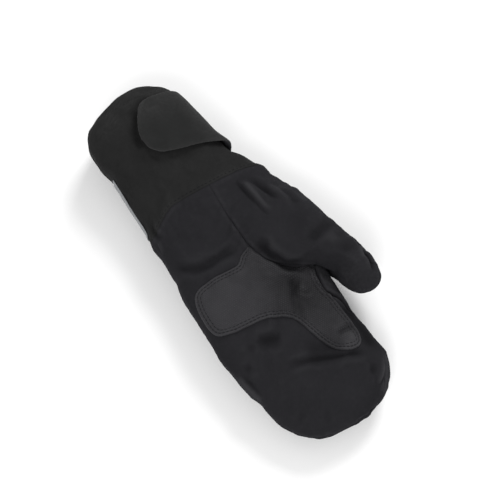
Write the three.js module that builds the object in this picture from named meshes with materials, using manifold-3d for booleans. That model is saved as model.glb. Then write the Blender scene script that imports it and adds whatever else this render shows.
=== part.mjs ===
// Waterproof overglove: a left-hand overmitt lying on its back, palm up.
// Units mm, +Z up, +Y to the fingertips, thumb towards -X, little finger towards +X.
//
// Every cloth piece is one sheet: an outer skin from a section function, an inner
// skin one wall deeper, and a rim round its cut edge. Sections lie at constant y.
import * as THREE from "three";
import Module from "manifold-3d";

const wasm = await Module();
wasm.setup();

// ---------------------------------------------------------------- sizes
const WALL = 1.5; // bonded shell fabric
const SEAM = 0.15; // each panel stops this far short of its seam line
const WRIST = -58; // seam between hand and cuff
const CROTCH = 47; // where thumb and index side part
const TIP = { from: 118, length: 49.5 }; // rounding of the fingertip
const THUMB_TIP = { from: 57, length: 27 };
const LAST = 89.3; // the tips close at this angle of their rounding, degrees
const ROUND = { x: 0.82, z: 0.8 }; // how boxy the oval sections are (1 = ellipse)
const STRAP_THICK = 2.2;
const PATCH = { gap: 0.4, thick: 1.2 };
const PAD = { gap: 0.45, thick: 1.2 };
const STRIPE = { gap: 0.3, thick: 0.8 };
const HEM = { depth: 16, extra: 1.5 }; // folded hem round the cuff's mouth

// ---------------------------------------------------------------- helpers
const rad = THREE.MathUtils.degToRad;
const mix = (a, b, t) => a + (b - a) * t;
const power = (v, e) => Math.sign(v) * Math.abs(v) ** e;
const ramp = (a, b, x) => THREE.MathUtils.smoothstep(x, a, b);

// A table of sections: named columns, a row per section, monotone cubics between.
function table(columns, rows) {
  rows = [...rows].sort((a, b) => a[0] - b[0]);
  const xs = rows.map((r) => r[0]);
  const made = {};
  columns.slice(1).forEach((name, c) => {
    const ys = rows.map((r) => r[c + 1]);
    const n = xs.length;
    const h = [];
    const d = [];
    for (let i = 0; i < n - 1; i++) {
      h.push(xs[i + 1] - xs[i]);
      d.push((ys[i + 1] - ys[i]) / h[i]);
    }
    const m = ys.map(() => 0);
    for (let i = 1; i < n - 1; i++) {
      if (d[i - 1] * d[i] <= 0) continue;
      const w1 = 2 * h[i] + h[i - 1];
      const w2 = h[i] + 2 * h[i - 1];
      m[i] = (w1 + w2) / (w1 / d[i - 1] + w2 / d[i]);
    }
    m[0] = d[0];
    m[n - 1] = d[n - 2];
    made[name] = (x) => {
      x = Math.min(Math.max(x, xs[0]), xs[n - 1]);
      let i = 0;
      while (i < n - 2 && x >= xs[i + 1]) i++;
      const t = (x - xs[i]) / h[i];
      const t2 = t * t;
      const t3 = t2 * t;
      return (
        (2 * t3 - 3 * t2 + 1) * ys[i] +
        (t3 - 2 * t2 + t) * h[i] * m[i] +
        (3 * t2 - 2 * t3) * ys[i + 1] +
        (t3 - t2) * h[i] * m[i + 1]
      );
    };
  });
  return made;
}

// Cloth that would hang below the surface lies on it, with a soft edge of contact.
function lie(z, soft = 1.5) {
  if (z <= -soft) return 0;
  return z >= soft ? z : (z + soft) ** 2 / (4 * soft);
}

// ---------------------------------------------------------------- sections
// Hand: edge of the index side and of the little finger, height of the crown,
// of the widest level, and how far the underside reaches below that level.
const HAND = table(
  ["y", "index", "little", "crown", "side", "belly"],
  [
    [-58, -48.8, 67.8, 50, 26, 31],
    [-35, -52.2, 66.3, 49, 25, 30],
    [-10, -47.5, 66.8, 48, 24, 29],
    [15, -45, 69.5, 47, 23.5, 28],
    [40, -43.5, 69.4, 46, 23, 27.5],
    [65, -42.8, 70.3, 45, 23, 27],
    [90, -42, 68, 43.5, 22.5, 26.5],
    [106, -44, 65.2, 42.5, 22, 26],
    [118, -45, 61.4, 42, 21.5, 25.5],
    [132, -46.8, 61, 41, 21, 25],
    [168, -48, 63.4, 40, 20, 24],
  ],
);

// Cuff: as the hand, plus the height its underside is held at by the strap below
// it, and how far the mouth's sides draw back from its middle.
const CUFF = table(
  ["y", "index", "little", "crown", "side", "belly", "floor", "bow"],
  [
    [-58, -48.8, 67.8, 50, 26, 31, 0, 0],
    [-64, -43.4, 66.4, 50.2, 26.5, 31.5, 0.5, 0],
    [-72, -40.2, 65.6, 50.5, 27, 32, 1.5, 0],
    [-85, -31.2, 65.6, 52, 28.5, 33, 3, 0],
    [-100, -28.3, 65.6, 54.5, 30, 33, 3, 0],
    [-115, -25.9, 66.2, 57, 31, 34, 3, 0],
    [-130, -23.2, 69, 58.5, 32, 34, 3, 0],
    [-142, -21.2, 69, 58, 32, 34, 3, 0],
    [-154, -18.5, 66, 56, 31.5, 33, 3, 1],
    [-166, -15.5, 58, 51, 30, 31, 3.5, 4],
    [-174, -12, 46.5, 46, 28, 27, 5, 8],
  ],
);

// Seam between hand and thumb: x on the palm side and on the back of the hand.
const JOIN = table(
  ["y", "palm", "back"],
  [
    [-58, 4, -12],
    [-20, 5, -15],
    [0, 4.5, -18],
    [10, 2.5, -20],
    [20, -1, -24],
    [28, -5, -28],
    [35, -11, -32],
    [40, -17.5, -36],
    [43, -24, -39],
    [45, -34, -42],
    [47, -46, -46],
  ],
);

// Seam between palm and back: angle of the oval on the index side, palm upwards.
const EDGE = table(
  ["y", "index"],
  [
    [45, 145.2],
    [48, 142.4],
    [54, 137],
    [66, 137],
    [76, 147],
    [83, 157],
    [95, 167],
    [125, 168],
    [135, 162],
    [143, 152],
    [168, 152],
  ],
);
const LITTLE_EDGE = 3; // the same seam on the little-finger side, degrees

// Thumb: the arc from the palm-side seam over its crown, outer edge and belly to
// the seam on the back. rise and fall are the angles it leaves the two seams at.
const THUMB = table(
  ["y", "rise", "crownX", "crownZ", "outerX", "outerZ", "bellyX", "bellyZ", "fall", "innerX", "innerZ"],
  [
    [-58, 0, 2, 50, -50, 26, -25, -3, 0, -43.4, 23.3],
    [-35, 8, -22, 51, -59, 28, -30, -2.5, 0, -43.4, 23.3],
    [-10, 25, -35, 53, -63, 30, -37, -1.5, 5, -43.4, 23.3],
    [15, 45, -44, 55, -67.3, 32, -44, 2, 15, -43.4, 23.3],
    [35, 62, -51, 56, -71.8, 33.5, -49, 6, 35, -43.4, 23.3],
    [47, 74, -57, 56, -74.7, 34, -55, 9.5, 75, -43.9, 23.3],
    [58, 74, -61, 55.2, -77.5, 34.5, -59, 12, 75, -46, 31],
    [84, 74, -64, 53.5, -80.8, 35, -64.5, 15, 75, -47.3, 34],
  ],
);

// Seam between the thumb's two panels, as a share of its arc.
const THUMB_EDGE = table(
  ["y", "share"],
  [
    [-58, 0.5],
    [30, 0.5],
    [47, 0.42],
    [58, 0.34],
    [66, 0.34],
    [76, 0.39],
    [84, 0.42],
  ],
);

// Closure strap: angle round the cuff, its edge towards the fingers, its edge
// towards the mouth, and its clearance over the cuff. It is sewn on underneath.
const STRAP = table(
  ["angle", "near", "far", "gap"],
  [
    [79, -112.6, -117, 2.2],
    [80.5, -108.5, -121, 2.2],
    [83, -105, -126, 2.2],
    [88, -100.3, -135, 2.2],
    [92, -98.3, -143.4, 2.2],
    [96, -97, -147.2, 2.2],
    [101, -96, -149.4, 2.2],
    [117, -94.2, -150.6, 2.1],
    [140, -90.5, -151, 1.8],
    [165, -87.2, -150.8, 1.3],
    [182, -86, -150.4, 1],
    [205, -86.5, -150.2, 0.9],
    [232, -88, -150, 0.75],
    [264, -90, -148, 0.5],
  ],
);

// ---------------------------------------------------------------- surfaces
// The wrist seam runs up towards the fingers at the little-finger edge.
const warp = (x, y) => 13 * ramp(36, 70, x) * Math.exp(-(((y - WRIST) / 30) ** 2));

function oval(S, angle, y, k = 1) {
  const half = ((S.little(y) - S.index(y)) / 2) * k ** 0.75;
  const x = (S.little(y) + S.index(y)) / 2 + half * power(Math.cos(angle), ROUND.x);
  const up = Math.sin(angle);
  const reach = up >= 0 ? S.crown(y) - S.side(y) : -S.belly(y);
  return [x, S.side(y) + reach * k * Math.abs(up) ** ROUND.z];
}

// Angle of the oval's point with this x, on its upper or under side.
function angleAt(S, x, y, under = false) {
  const half = (S.little(y) - S.index(y)) / 2;
  const c = power((x - (S.little(y) + S.index(y)) / 2) / half, 1 / ROUND.x);
  const a = Math.acos(Math.min(1, Math.max(-1, c)));
  return under ? 2 * Math.PI - a : a;
}

function hand(angle, y, k = 1) {
  const [x, z] = oval(HAND, angle, y, k);
  return [x, y + warp(x, y), lie(z)];
}

function cuff(angle, y) {
  const [x, z] = oval(CUFF, angle, y);
  const mid = (CUFF.little(y) + CUFF.index(y)) / 2;
  const half = (CUFF.little(y) - CUFF.index(y)) / 2;
  const bow = CUFF.bow(y) * ((x - mid) / half) ** 2;
  return [x, y + warp(x, y) + bow, lie(z - CUFF.floor(y)) + CUFF.floor(y)];
}

const bezier = (p, t) => {
  const m = 1 - t;
  const w = [m ** 3, 3 * m * m * t, 3 * m * t * t, t ** 3];
  return [0, 1].map((c) => w.reduce((s, v, i) => s + v * p[i][c], 0));
};

// Thumb: share 0 at the palm-side seam, 0.25 crown, 0.5 outer edge, 0.75 belly,
// 1 at the seam on the back. Past the crotch both ends are its inner edge.
function thumb(share, y, k = 1) {
  const low = Math.min(y, CROTCH);
  const a0 = angleAt(HAND, JOIN.palm(low), low);
  const a1 = angleAt(HAND, JOIN.back(low), low, true);
  const joined = y < CROTCH;
  const start = joined ? oval(HAND, a0, low) : [THUMB.innerX(y), THUMB.innerZ(y)];
  const end = joined ? oval(HAND, a1, low) : start;
  const midX = (THUMB.outerX(y) + start[0]) / 2;
  const midZ = THUMB.outerZ(y);
  const shrink = ([x, z]) => [midX + (x - midX) * k ** 0.66, midZ + (z - midZ) * k ** 0.9];
  const T = shrink(start);
  const B = shrink(end);
  const K = shrink([THUMB.crownX(y), THUMB.crownZ(y)]);
  const O = shrink([THUMB.outerX(y), midZ]);
  const L = shrink([THUMB.bellyX(y), THUMB.bellyZ(y)]);
  const rise = rad(joined ? THUMB.rise(y) : 90);
  const fall = rad(joined ? THUMB.fall(y) : 90);
  const f = 0.6;
  const tug = 0.45 * Math.abs(T[0] - K[0]) * Math.cos(rise) + f * Math.abs(K[1] - T[1]) * Math.sin(rise);
  const pull = 0.45 * Math.abs(B[0] - L[0]) * Math.cos(fall) + f * Math.abs(B[1] - L[1]) * Math.sin(fall);
  const arcs = [
    [T, [T[0] - tug * Math.cos(rise), T[1] + tug * Math.sin(rise)], [K[0] + 0.5 * Math.abs(T[0] - K[0]), K[1]], K],
    [K, [K[0] - f * (K[0] - O[0]), K[1]], [O[0], O[1] + f * (K[1] - O[1])], O],
    [O, [O[0], O[1] - f * (O[1] - L[1])], [L[0] - f * (L[0] - O[0]), L[1]], L],
    [L, [L[0] + 0.5 * Math.abs(B[0] - L[0]), L[1]], [B[0] - pull * Math.cos(fall), B[1] - pull * Math.sin(fall)], B],
  ];
  const q = Math.min(3, Math.max(0, Math.floor(share * 4)));
  const free = bezier(arcs[q], share * 4 - q);
  // At the wrist the arc is the hand's own oval.
  const angle = share < 0.5 ? mix(a0, Math.PI, share * 2) : mix(Math.PI, a1, share * 2 - 1);
  const own = oval(HAND, angle, low);
  const w = ramp(WRIST, -22, y);
  const x = mix(own[0], free[0], w);
  return [x, y + warp(x, y), lie(mix(own[1], free[1], w))];
}

// Stations along a mitt part: straight run, then the rounding of its tip.
function stations(run, tip, angles) {
  const rows = run.map((y) => ({ y, k: 1 }));
  for (const a of angles)
    rows.push({ y: tip.from + tip.length * Math.sin(rad(a)), k: Math.cos(rad(a)) });
  return rows;
}

// Outward unit normal of a surface f(u, v), by differences.
function normal(f, u, v, du, dv) {
  const p = new THREE.Vector3(...f(u + du, v)).sub(new THREE.Vector3(...f(u - du, v)));
  const q = new THREE.Vector3(...f(u, v + dv)).sub(new THREE.Vector3(...f(u, v - dv)));
  return p.cross(q).normalize();
}

// ---------------------------------------------------------------- sheets
// One closed sheet from a lattice: skin(i, j) gives the outer point and its outward
// normal, low and high are the depths of its two skins below that point.
function sheet(rows, columns, skin, { high = 0, low = WALL, ring = false, lives = () => true } = {}) {
  const made = [];
  for (const side of [0, 1])
    for (let i = 0; i < rows; i++)
      for (let j = 0; j < columns; j++) {
        const { p, n } = skin(i, j);
        const depth = side ? (typeof low === "function" ? low(i, j) : low) : high;
        made.push(new THREE.Vector3(...p).addScaledVector(n, -depth));
      }
  const id = (side, i, j) => (side * rows + i) * columns + (j % columns);
  const across = ring ? columns : columns - 1;
  const alive = (i, j) =>
    i >= 0 && i < rows - 1 && (ring || (j >= 0 && j < across)) && lives(i, j % columns);
  const index = [];
  const quad = (a, b, c, d) => {
    // split along the shorter diagonal
    if (made[a].distanceTo(made[c]) <= made[b].distanceTo(made[d])) index.push(a, b, c, a, c, d);
    else index.push(a, b, d, b, c, d);
  };
  for (let i = 0; i < rows - 1; i++)
    for (let j = 0; j < across; j++) {
      if (!alive(i, j)) continue;
      const c = [[i, j], [i, j + 1], [i + 1, j + 1], [i + 1, j]];
      const [a, b, d, e] = c.map((v) => id(0, ...v));
      const [A, B, D, E] = c.map((v) => id(1, ...v));
      quad(a, b, d, e);
      quad(E, D, B, A);
      if (!alive(i - 1, j)) quad(A, B, b, a);
      if (!alive(i + 1, j)) quad(D, E, e, d);
      if (!ring && !alive(i, j + 1)) quad(B, D, d, b);
      if (!ring && !alive(i, j - 1)) quad(E, A, a, e);
    }
  // keep the used points only, and face the sheet outwards
  const used = new Map();
  const position = [];
  for (const v of index)
    if (!used.has(v)) {
      used.set(v, used.size);
      position.push(...made[v].toArray());
    }
  const g = new THREE.BufferGeometry();
  g.setAttribute("position", new THREE.Float32BufferAttribute(position, 3));
  g.setIndex(index.map((v) => used.get(v)));
  if (volume(g) < 0) g.setIndex([...g.index.array].reverse());
  return g;
}

function volume(g) {
  const p = g.attributes.position;
  const [a, b, c] = [new THREE.Vector3(), new THREE.Vector3(), new THREE.Vector3()];
  let v = 0;
  for (let i = 0; i < g.index.count; i += 3) {
    a.fromBufferAttribute(p, g.index.getX(i));
    b.fromBufferAttribute(p, g.index.getX(i + 1));
    c.fromBufferAttribute(p, g.index.getX(i + 2));
    v += a.dot(b.clone().cross(c)) / 6;
  }
  return v;
}

const solid = (g) =>
  new wasm.Manifold(
    new wasm.Mesh({
      numProp: 3,
      vertProperties: new Float32Array(g.attributes.position.array),
      triVerts: new Uint32Array(g.index.array),
    }),
  );

function geometry(m) {
  const mesh = m.getMesh();
  const g = new THREE.BufferGeometry();
  g.setAttribute("position", new THREE.Float32BufferAttribute(mesh.vertProperties, mesh.numProp));
  g.setIndex(new THREE.Uint32BufferAttribute(mesh.triVerts, 1));
  return g;
}

// A sheet's skin from a surface f(u, v) sampled at u(i, j), v(i, j). flip turns the
// normal outwards. Outward is away from the section's middle.
function skinOf(f, uv, du, dv, flip = 1) {
  const kept = new Map();
  return (i, j) => {
    const key = i * 1000 + j;
    if (!kept.has(key)) {
      const [u, v] = uv(i, j);
      const n = normal(f, u, v, du, dv).multiplyScalar(flip);
      if (i === 0) n.setY(0).normalize(); // the first row's rim is square to the part
      kept.set(key, { p: f(u, v), n });
    }
    return kept.get(key);
  };
}

// ---------------------------------------------------------------- hand panels
const TIP_ANGLES = [20, 38, 53, 65, 75, 83, LAST];
const FORK = 45.2; // where the seams of palm, thumb and back meet beside the crotch
const JOINED = [WRIST + SEAM, -44, -28, -12, 2, 12, 21, 29, 35.5, 40, 43, FORK];
const handRows = stations([...JOINED, 48, 54, 62, 70, 80, 92, 105, TIP.from], TIP, TIP_ANGLES);
// rows are blended as v so that normals can be taken along the panel
const along = (rows) => (v) => {
  const i = Math.min(rows.length - 2, Math.max(0, Math.floor(v)));
  const t = v - i;
  const a = rows[i];
  const b = rows[i + 1];
  return { y: mix(a.y, b.y, t), k: Math.max(1e-3, mix(a.k, b.k, t)) };
};
const onHand = (rows) => {
  const at = along(rows);
  return (angle, v) => {
    const { y, k } = at(v);
    return hand(angle, y, k);
  };
};
const handSkin = onHand(handRows);
const CROTCH_ROW = handRows.findIndex((r) => r.y === 48);

// turn: the angle that moves a point by `distance` along the oval at a row
function turn(f, angle, v, distance) {
  const a = new THREE.Vector3(...f(angle - 0.02, v));
  const b = new THREE.Vector3(...f(angle + 0.02, v));
  return (distance * 0.04) / Math.max(0.05, a.distanceTo(b));
}
// how much further along a row a slanting seam is cleared
const slant = (f, y) => Math.hypot(1, (f(y + 0.3) - f(y - 0.3)) / 0.6);
// the two ends of each hand row, clear of the seams by SEAM
const palmStart = handRows.map(({ y }, v) => {
  const a = y < 45 ? angleAt(HAND, JOIN.palm(y), y) : rad(EDGE.index(y));
  return a - turn(handSkin, a, v, SEAM * (y < 45 ? slant(JOIN.palm, y) : 1));
});
const littleEnd = rad(LITTLE_EDGE);
const palmEnd = handRows.map((r, v) => littleEnd + turn(handSkin, littleEnd, v, SEAM));
const backEnd = handRows.map((r, v) => 2 * Math.PI + littleEnd - turn(handSkin, littleEnd, v, SEAM));
const backStart = handRows.map(({ y }, v) => {
  if (v >= CROTCH_ROW) return Math.PI;
  const a = angleAt(HAND, JOIN.back(Math.min(y, CROTCH)), Math.min(y, CROTCH), true);
  return a + turn(handSkin, a, v, SEAM * slant(JOIN.back, y));
});
const stripStart = handRows.map((r, v) => {
  const a = rad(EDGE.index(r.y));
  return a + turn(handSkin, a, v, SEAM);
});

const PALM_COLUMNS = 15;
const palmSkin = skinOf(
  handSkin,
  (i, j) => [mix(palmStart[i], palmEnd[i], j / (PALM_COLUMNS - 1)), i],
  0.02,
  0.02,
  -1,
);
const palmPanel = sheet(handRows.length, PALM_COLUMNS, palmSkin);

// The back panel wraps the index side past the crotch: STRIP columns live only there,
// and their lowest row slants from the crotch up to the fork of the seams.
const STRIP = 3;
const BACK_COLUMNS = STRIP + 16;
const SAG = [2.5, 1.2, 0.35]; // how far the strip's lowest row hangs below its own y
const backSkin = skinOf(
  handSkin,
  (i, j) => {
    if (j >= STRIP) return [mix(backStart[i], backEnd[i], (j - STRIP) / (BACK_COLUMNS - 1 - STRIP)), i];
    const sag = i === CROTCH_ROW ? SAG[j] / (48 - FORK) : 0;
    return [mix(stripStart[i] + (sag ? rad(2.3) * (1 - j / STRIP) : 0), Math.PI, j / STRIP), i - sag];
  },
  0.02,
  0.02,
  -1,
);
const backPanel = sheet(handRows.length, BACK_COLUMNS, backSkin, {
  lives: (i, j) => j >= STRIP || i >= CROTCH_ROW,
});

// ---------------------------------------------------------------- thumb panels
const thumbRows = stations([...JOINED, 47.6, 52, THUMB_TIP.from], THUMB_TIP, [22, 42, 58, 70, 80, LAST]);
const thumbAt = along(thumbRows);
const thumbSkin = (share, v) => {
  const { y, k } = thumbAt(v);
  return thumb(share, y, k);
};
const shareOf = (v, share, distance) => {
  const inside = Math.min(0.98, Math.max(0.02, share));
  const a = new THREE.Vector3(...thumbSkin(inside - 0.01, v));
  const b = new THREE.Vector3(...thumbSkin(inside + 0.01, v));
  return (distance * 0.02) / Math.max(0.02, a.distanceTo(b));
};
const thumbSplit = thumbRows.map(({ y }) => THUMB_EDGE.share(y));
const joinSlant = (f, y) => (y < CROTCH ? slant(f, y) : 1);
const thumbEnds = thumbRows.map(({ y }, v) => ({
  start: shareOf(v, 0, SEAM * joinSlant(JOIN.palm, y)),
  mid: thumbSplit[v],
  pull: shareOf(v, thumbSplit[v], SEAM),
  end: 1 - shareOf(v, 1, SEAM * joinSlant(JOIN.back, y)),
}));
const FRONT_COLUMNS = 11;
const REAR_COLUMNS = 13;
const clampShare = (f) => (s, v) => f(Math.min(1, Math.max(0, s)), v);
const thumbFront = sheet(
  thumbRows.length,
  FRONT_COLUMNS,
  skinOf(
    clampShare(thumbSkin),
    (i, j) => [mix(thumbEnds[i].start, thumbEnds[i].mid - thumbEnds[i].pull, j / (FRONT_COLUMNS - 1)), i],
    0.004,
    0.02,
    -1,
  ),
);
const thumbBack = sheet(
  thumbRows.length,
  REAR_COLUMNS,
  skinOf(
    clampShare(thumbSkin),
    (i, j) => [mix(thumbEnds[i].mid + thumbEnds[i].pull, thumbEnds[i].end, j / (REAR_COLUMNS - 1)), i],
    0.004,
    0.02,
    -1,
  ),
);

// ---------------------------------------------------------------- cuff
const MOUTH = -174;
const cuffRows = [WRIST - 2 * SEAM, -64, -71, -78, -86, -98, -112, -126, -138, -147, -156, -162, -168, MOUTH];
const CUFF_COLUMNS = 36;
const cuffSkin = skinOf(
  cuff,
  (i, j) => [(j / CUFF_COLUMNS) * 2 * Math.PI, cuffRows[i]],
  0.02,
  0.3,
  -1,
);
const cuffTube = sheet(cuffRows.length, CUFF_COLUMNS, cuffSkin, {
  ring: true,
  low: (i) => WALL + HEM.extra * (1 - ramp(MOUTH + HEM.depth * 0.6, MOUTH + HEM.depth, cuffRows[i])),
});

// ---------------------------------------------------------------- pieces on the cuff
const STRAP_ANGLES = [264, 248, 232, 218, 205, 193, 182, 172, 160, 146, 132, 118, 107, 100, 95, 90, 86, 83, 81, 79.5];
const STRAP_COLUMNS = 8;
const strapSkin = skinOf(
  cuff,
  (i, j) => {
    const a = STRAP_ANGLES[i];
    return [rad(a), mix(STRAP.near(a), STRAP.far(a), j / (STRAP_COLUMNS - 1))];
  },
  0.02,
  0.3,
  -1,
);
const lifted = (skin, gap) => (i, j) => {
  const { p, n } = skin(i, j);
  const q = new THREE.Vector3(...p).addScaledVector(n, gap(i, j));
  return { p: q.toArray(), n };
};
const strap = sheet(
  STRAP_ANGLES.length,
  STRAP_COLUMNS,
  lifted(strapSkin, (i) => STRAP.gap(STRAP_ANGLES[i]) + STRAP_THICK),
  { low: STRAP_THICK },
);

const hookPad = sheet(
  6,
  5,
  skinOf(cuff, (i, j) => [rad(mix(118, 90, i / 5)), mix(-103, -139, j / 4)], 0.02, 0.3, -1),
  { high: -(PAD.gap + PAD.thick), low: -PAD.gap },
);

const stripe = sheet(
  3,
  6,
  skinOf(cuff, (i, j) => [rad(mix(-13, 6, i / 2)), mix(-65, -111, j / 5)], 0.02, 0.3, -1),
  { high: -(STRIPE.gap + STRIPE.thick), low: -STRIPE.gap },
);

// ---------------------------------------------------------------- palm patch
// Outline seen from above: a spline through these corners, the thumb side following
// the seam between palm and thumb.
const PATCH_OUTLINE = [
  ["seam, lower end", 5.2, 5.5],
  ["heel", 15, 10],
  ["heel", 27, 16.3],
  ["heel", 45, 15.5],
  ["heel corner", 60, 17.5],
  ["little-finger corner", 65.5, 23],
  ["little-finger side", 67.2, 40],
  ["little-finger corner", 65, 54],
  ["finger side", 56, 60.5],
  ["finger side", 40, 61.5],
  ["inner bend", 23, 65],
  ["inner bend", 10, 71.5],
  ["index lobe", 3.5, 79],
  ["index lobe", -1.5, 93],
  ["index lobe", -8, 110],
  ["lobe end", -16, 121.8],
  ["lobe end", -25, 120.5],
  ["lobe corner", -32, 118],
  ["index side", -30, 98],
  ["index side", -29, 76],
  ["index side", -27.5, 61],
  ["seam, upper end", -28.5, 49],
];
const outline = (() => {
  const corners = PATCH_OUTLINE.map(([, x, y]) => new THREE.Vector2(x, y));
  const side = new THREE.SplineCurve(corners).getPoints(44);
  // back down the seam, 0.7 mm on the palm's side of it
  for (const y of [44.3, 42, 38.5, 34, 28, 20, 13]) side.push(new THREE.Vector2(JOIN.palm(y) + 1.1, y));
  return side;
})();
const patchShell = sheet(handRows.length - 5, PALM_COLUMNS, (i, j) => palmSkin(i + 2, j), {
  high: -(PATCH.gap + PATCH.thick),
  low: -PATCH.gap,
});
const cutter = new THREE.ExtrudeGeometry(new THREE.Shape(outline), { depth: 80, bevelEnabled: false });
cutter.deleteAttribute("normal");
cutter.deleteAttribute("uv");

function weld(g) {
  const p = g.attributes.position;
  const ids = new Map();
  const position = [];
  const index = [];
  for (let i = 0; i < p.count; i++) {
    const key = [p.getX(i), p.getY(i), p.getZ(i)].map((v) => v.toFixed(4)).join();
    if (!ids.has(key)) {
      ids.set(key, ids.size);
      position.push(p.getX(i), p.getY(i), p.getZ(i));
    }
    index.push(ids.get(key));
  }
  const made = new THREE.BufferGeometry();
  made.setAttribute("position", new THREE.Float32BufferAttribute(position, 3));
  made.setIndex(index);
  return made;
}
const patch = geometry(solid(patchShell).intersect(solid(weld(cutter))));

// ---------------------------------------------------------------- assembly
const pieces = {
  palm_panel: palmPanel,
  back_panel: backPanel,
  thumb_front_panel: thumbFront,
  thumb_back_panel: thumbBack,
  cuff: cuffTube,
  closure_strap: strap,
  strap_hook_pad: hookPad,
  palm_patch: patch,
  reflective_strip: stripe,
};
const COLOURS = {
  palm_panel: 0x2a2a2d,
  back_panel: 0x2a2a2d,
  thumb_front_panel: 0x2c2c2f,
  thumb_back_panel: 0x2c2c2f,
  cuff: 0x272728,
  closure_strap: 0x343434,
  strap_hook_pad: 0x1c1c1c,
  palm_patch: 0x3c3c3f,
  reflective_strip: 0x9a9a9a,
};
const overglove = new THREE.Group();
overglove.name = "overglove";
const box = new THREE.Box3();
for (const [name, g] of Object.entries(pieces)) {
  const mesh = new THREE.Mesh(g, new THREE.MeshStandardMaterial({ color: COLOURS[name], roughness: 0.9 }));
  mesh.name = name;
  g.computeVertexNormals();
  g.computeBoundingBox();
  box.union(g.boundingBox);
  overglove.add(mesh);
}
// origin: middle of the bottom of the whole mitt
const middle = box.getCenter(new THREE.Vector3());
for (const g of Object.values(pieces)) g.translate(-middle.x, -middle.y, -box.min.z);

export default overglove;
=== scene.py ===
"""Looks of a waterproof overglove: a left-hand overmitt that lies on its back, palm up.

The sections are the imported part's own, in millimetres, on lattices fine enough for
folds, seam valleys and puckers. Every cloth piece is a closed sheet with an outer skin,
a lining skin and a rim. All lengths below are in mm until a mesh is written in metres.
"""

import math

import bpy
import numpy as np
from mathutils import Matrix, Vector
from mathutils.bvhtree import BVHTree
from mathutils.geometry import delaunay_2d_cdt
from mathutils.kdtree import KDTree


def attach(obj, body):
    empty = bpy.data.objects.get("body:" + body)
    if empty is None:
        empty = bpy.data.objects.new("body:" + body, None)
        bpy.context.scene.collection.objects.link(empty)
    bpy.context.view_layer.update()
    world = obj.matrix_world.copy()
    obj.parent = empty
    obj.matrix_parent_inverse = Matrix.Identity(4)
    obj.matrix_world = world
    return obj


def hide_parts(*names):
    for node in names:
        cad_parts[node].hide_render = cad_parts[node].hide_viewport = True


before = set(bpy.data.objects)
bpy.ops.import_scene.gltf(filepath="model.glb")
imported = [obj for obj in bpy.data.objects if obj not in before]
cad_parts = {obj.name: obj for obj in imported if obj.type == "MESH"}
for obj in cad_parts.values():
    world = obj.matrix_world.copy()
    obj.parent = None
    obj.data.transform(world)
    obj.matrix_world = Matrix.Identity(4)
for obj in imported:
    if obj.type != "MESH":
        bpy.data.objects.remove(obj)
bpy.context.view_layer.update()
bpy.context.scene.render.fps = 24

# ------------------------------------------------------------------ sizes
SHIFT = np.array([3.9199, 3.2518, 0.0])  # from the tables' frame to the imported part's
WALL = 1.5
WRIST = -58.0
CROTCH = 44.5
MOUTH = -174.0
ROUND_X, ROUND_Z = 0.82, 0.80
STRAP_THICK = 2.2
PATCH_GAP, PATCH_THICK = 0.1, 1.35
STRIPE_GAP, STRIPE_THICK = 0.12, 0.75
LITTLE_EDGE = math.radians(3)


# ------------------------------------------------------------------ helpers
def ramp(a, b, x):
    t = np.clip((np.asarray(x, float) - a) / (b - a), 0, 1)
    return t * t * (3 - 2 * t)


def mix(a, b, t):
    return a + (b - a) * t


def power(v, e):
    return np.sign(v) * np.abs(v) ** e


def lie(z, soft=1.5):
    """Cloth that would hang below the surface lies on it."""
    z = np.asarray(z, float)
    return np.where(z <= -soft, 0.0, np.where(z >= soft, z, (z + soft) ** 2 / (4 * soft)))


def curve(xs, ys):
    """Monotone cubic through the points, flat outside them."""
    xs, ys = np.asarray(xs, float), np.asarray(ys, float)
    h, d = np.diff(xs), np.diff(ys) / np.diff(xs)
    m = np.zeros(len(xs))
    for i in range(1, len(xs) - 1):
        if d[i - 1] * d[i] > 0:
            w1, w2 = 2 * h[i] + h[i - 1], h[i] + 2 * h[i - 1]
            m[i] = (w1 + w2) / (w1 / d[i - 1] + w2 / d[i])
    m[0], m[-1] = d[0], d[-1]

    def at(x):
        x = np.clip(np.asarray(x, float), xs[0], xs[-1])
        i = np.clip(np.searchsorted(xs, x, side="right") - 1, 0, len(xs) - 2)
        t = (x - xs[i]) / h[i]
        t2, t3 = t * t, t * t * t
        return (
            (2 * t3 - 3 * t2 + 1) * ys[i]
            + (t3 - 2 * t2 + t) * h[i] * m[i]
            + (3 * t2 - 2 * t3) * ys[i + 1]
            + (t3 - t2) * h[i] * m[i + 1]
        )

    return at


def table(columns, rows):
    """Named columns, a row per section, sorted by the first column."""
    a = np.array(sorted(rows), float)
    return {c: curve(a[:, 0], a[:, i]) for i, c in enumerate(columns.split()) if i}


def unit(v):
    return v / np.maximum(np.linalg.norm(v, axis=-1, keepdims=True), 1e-9)


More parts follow.
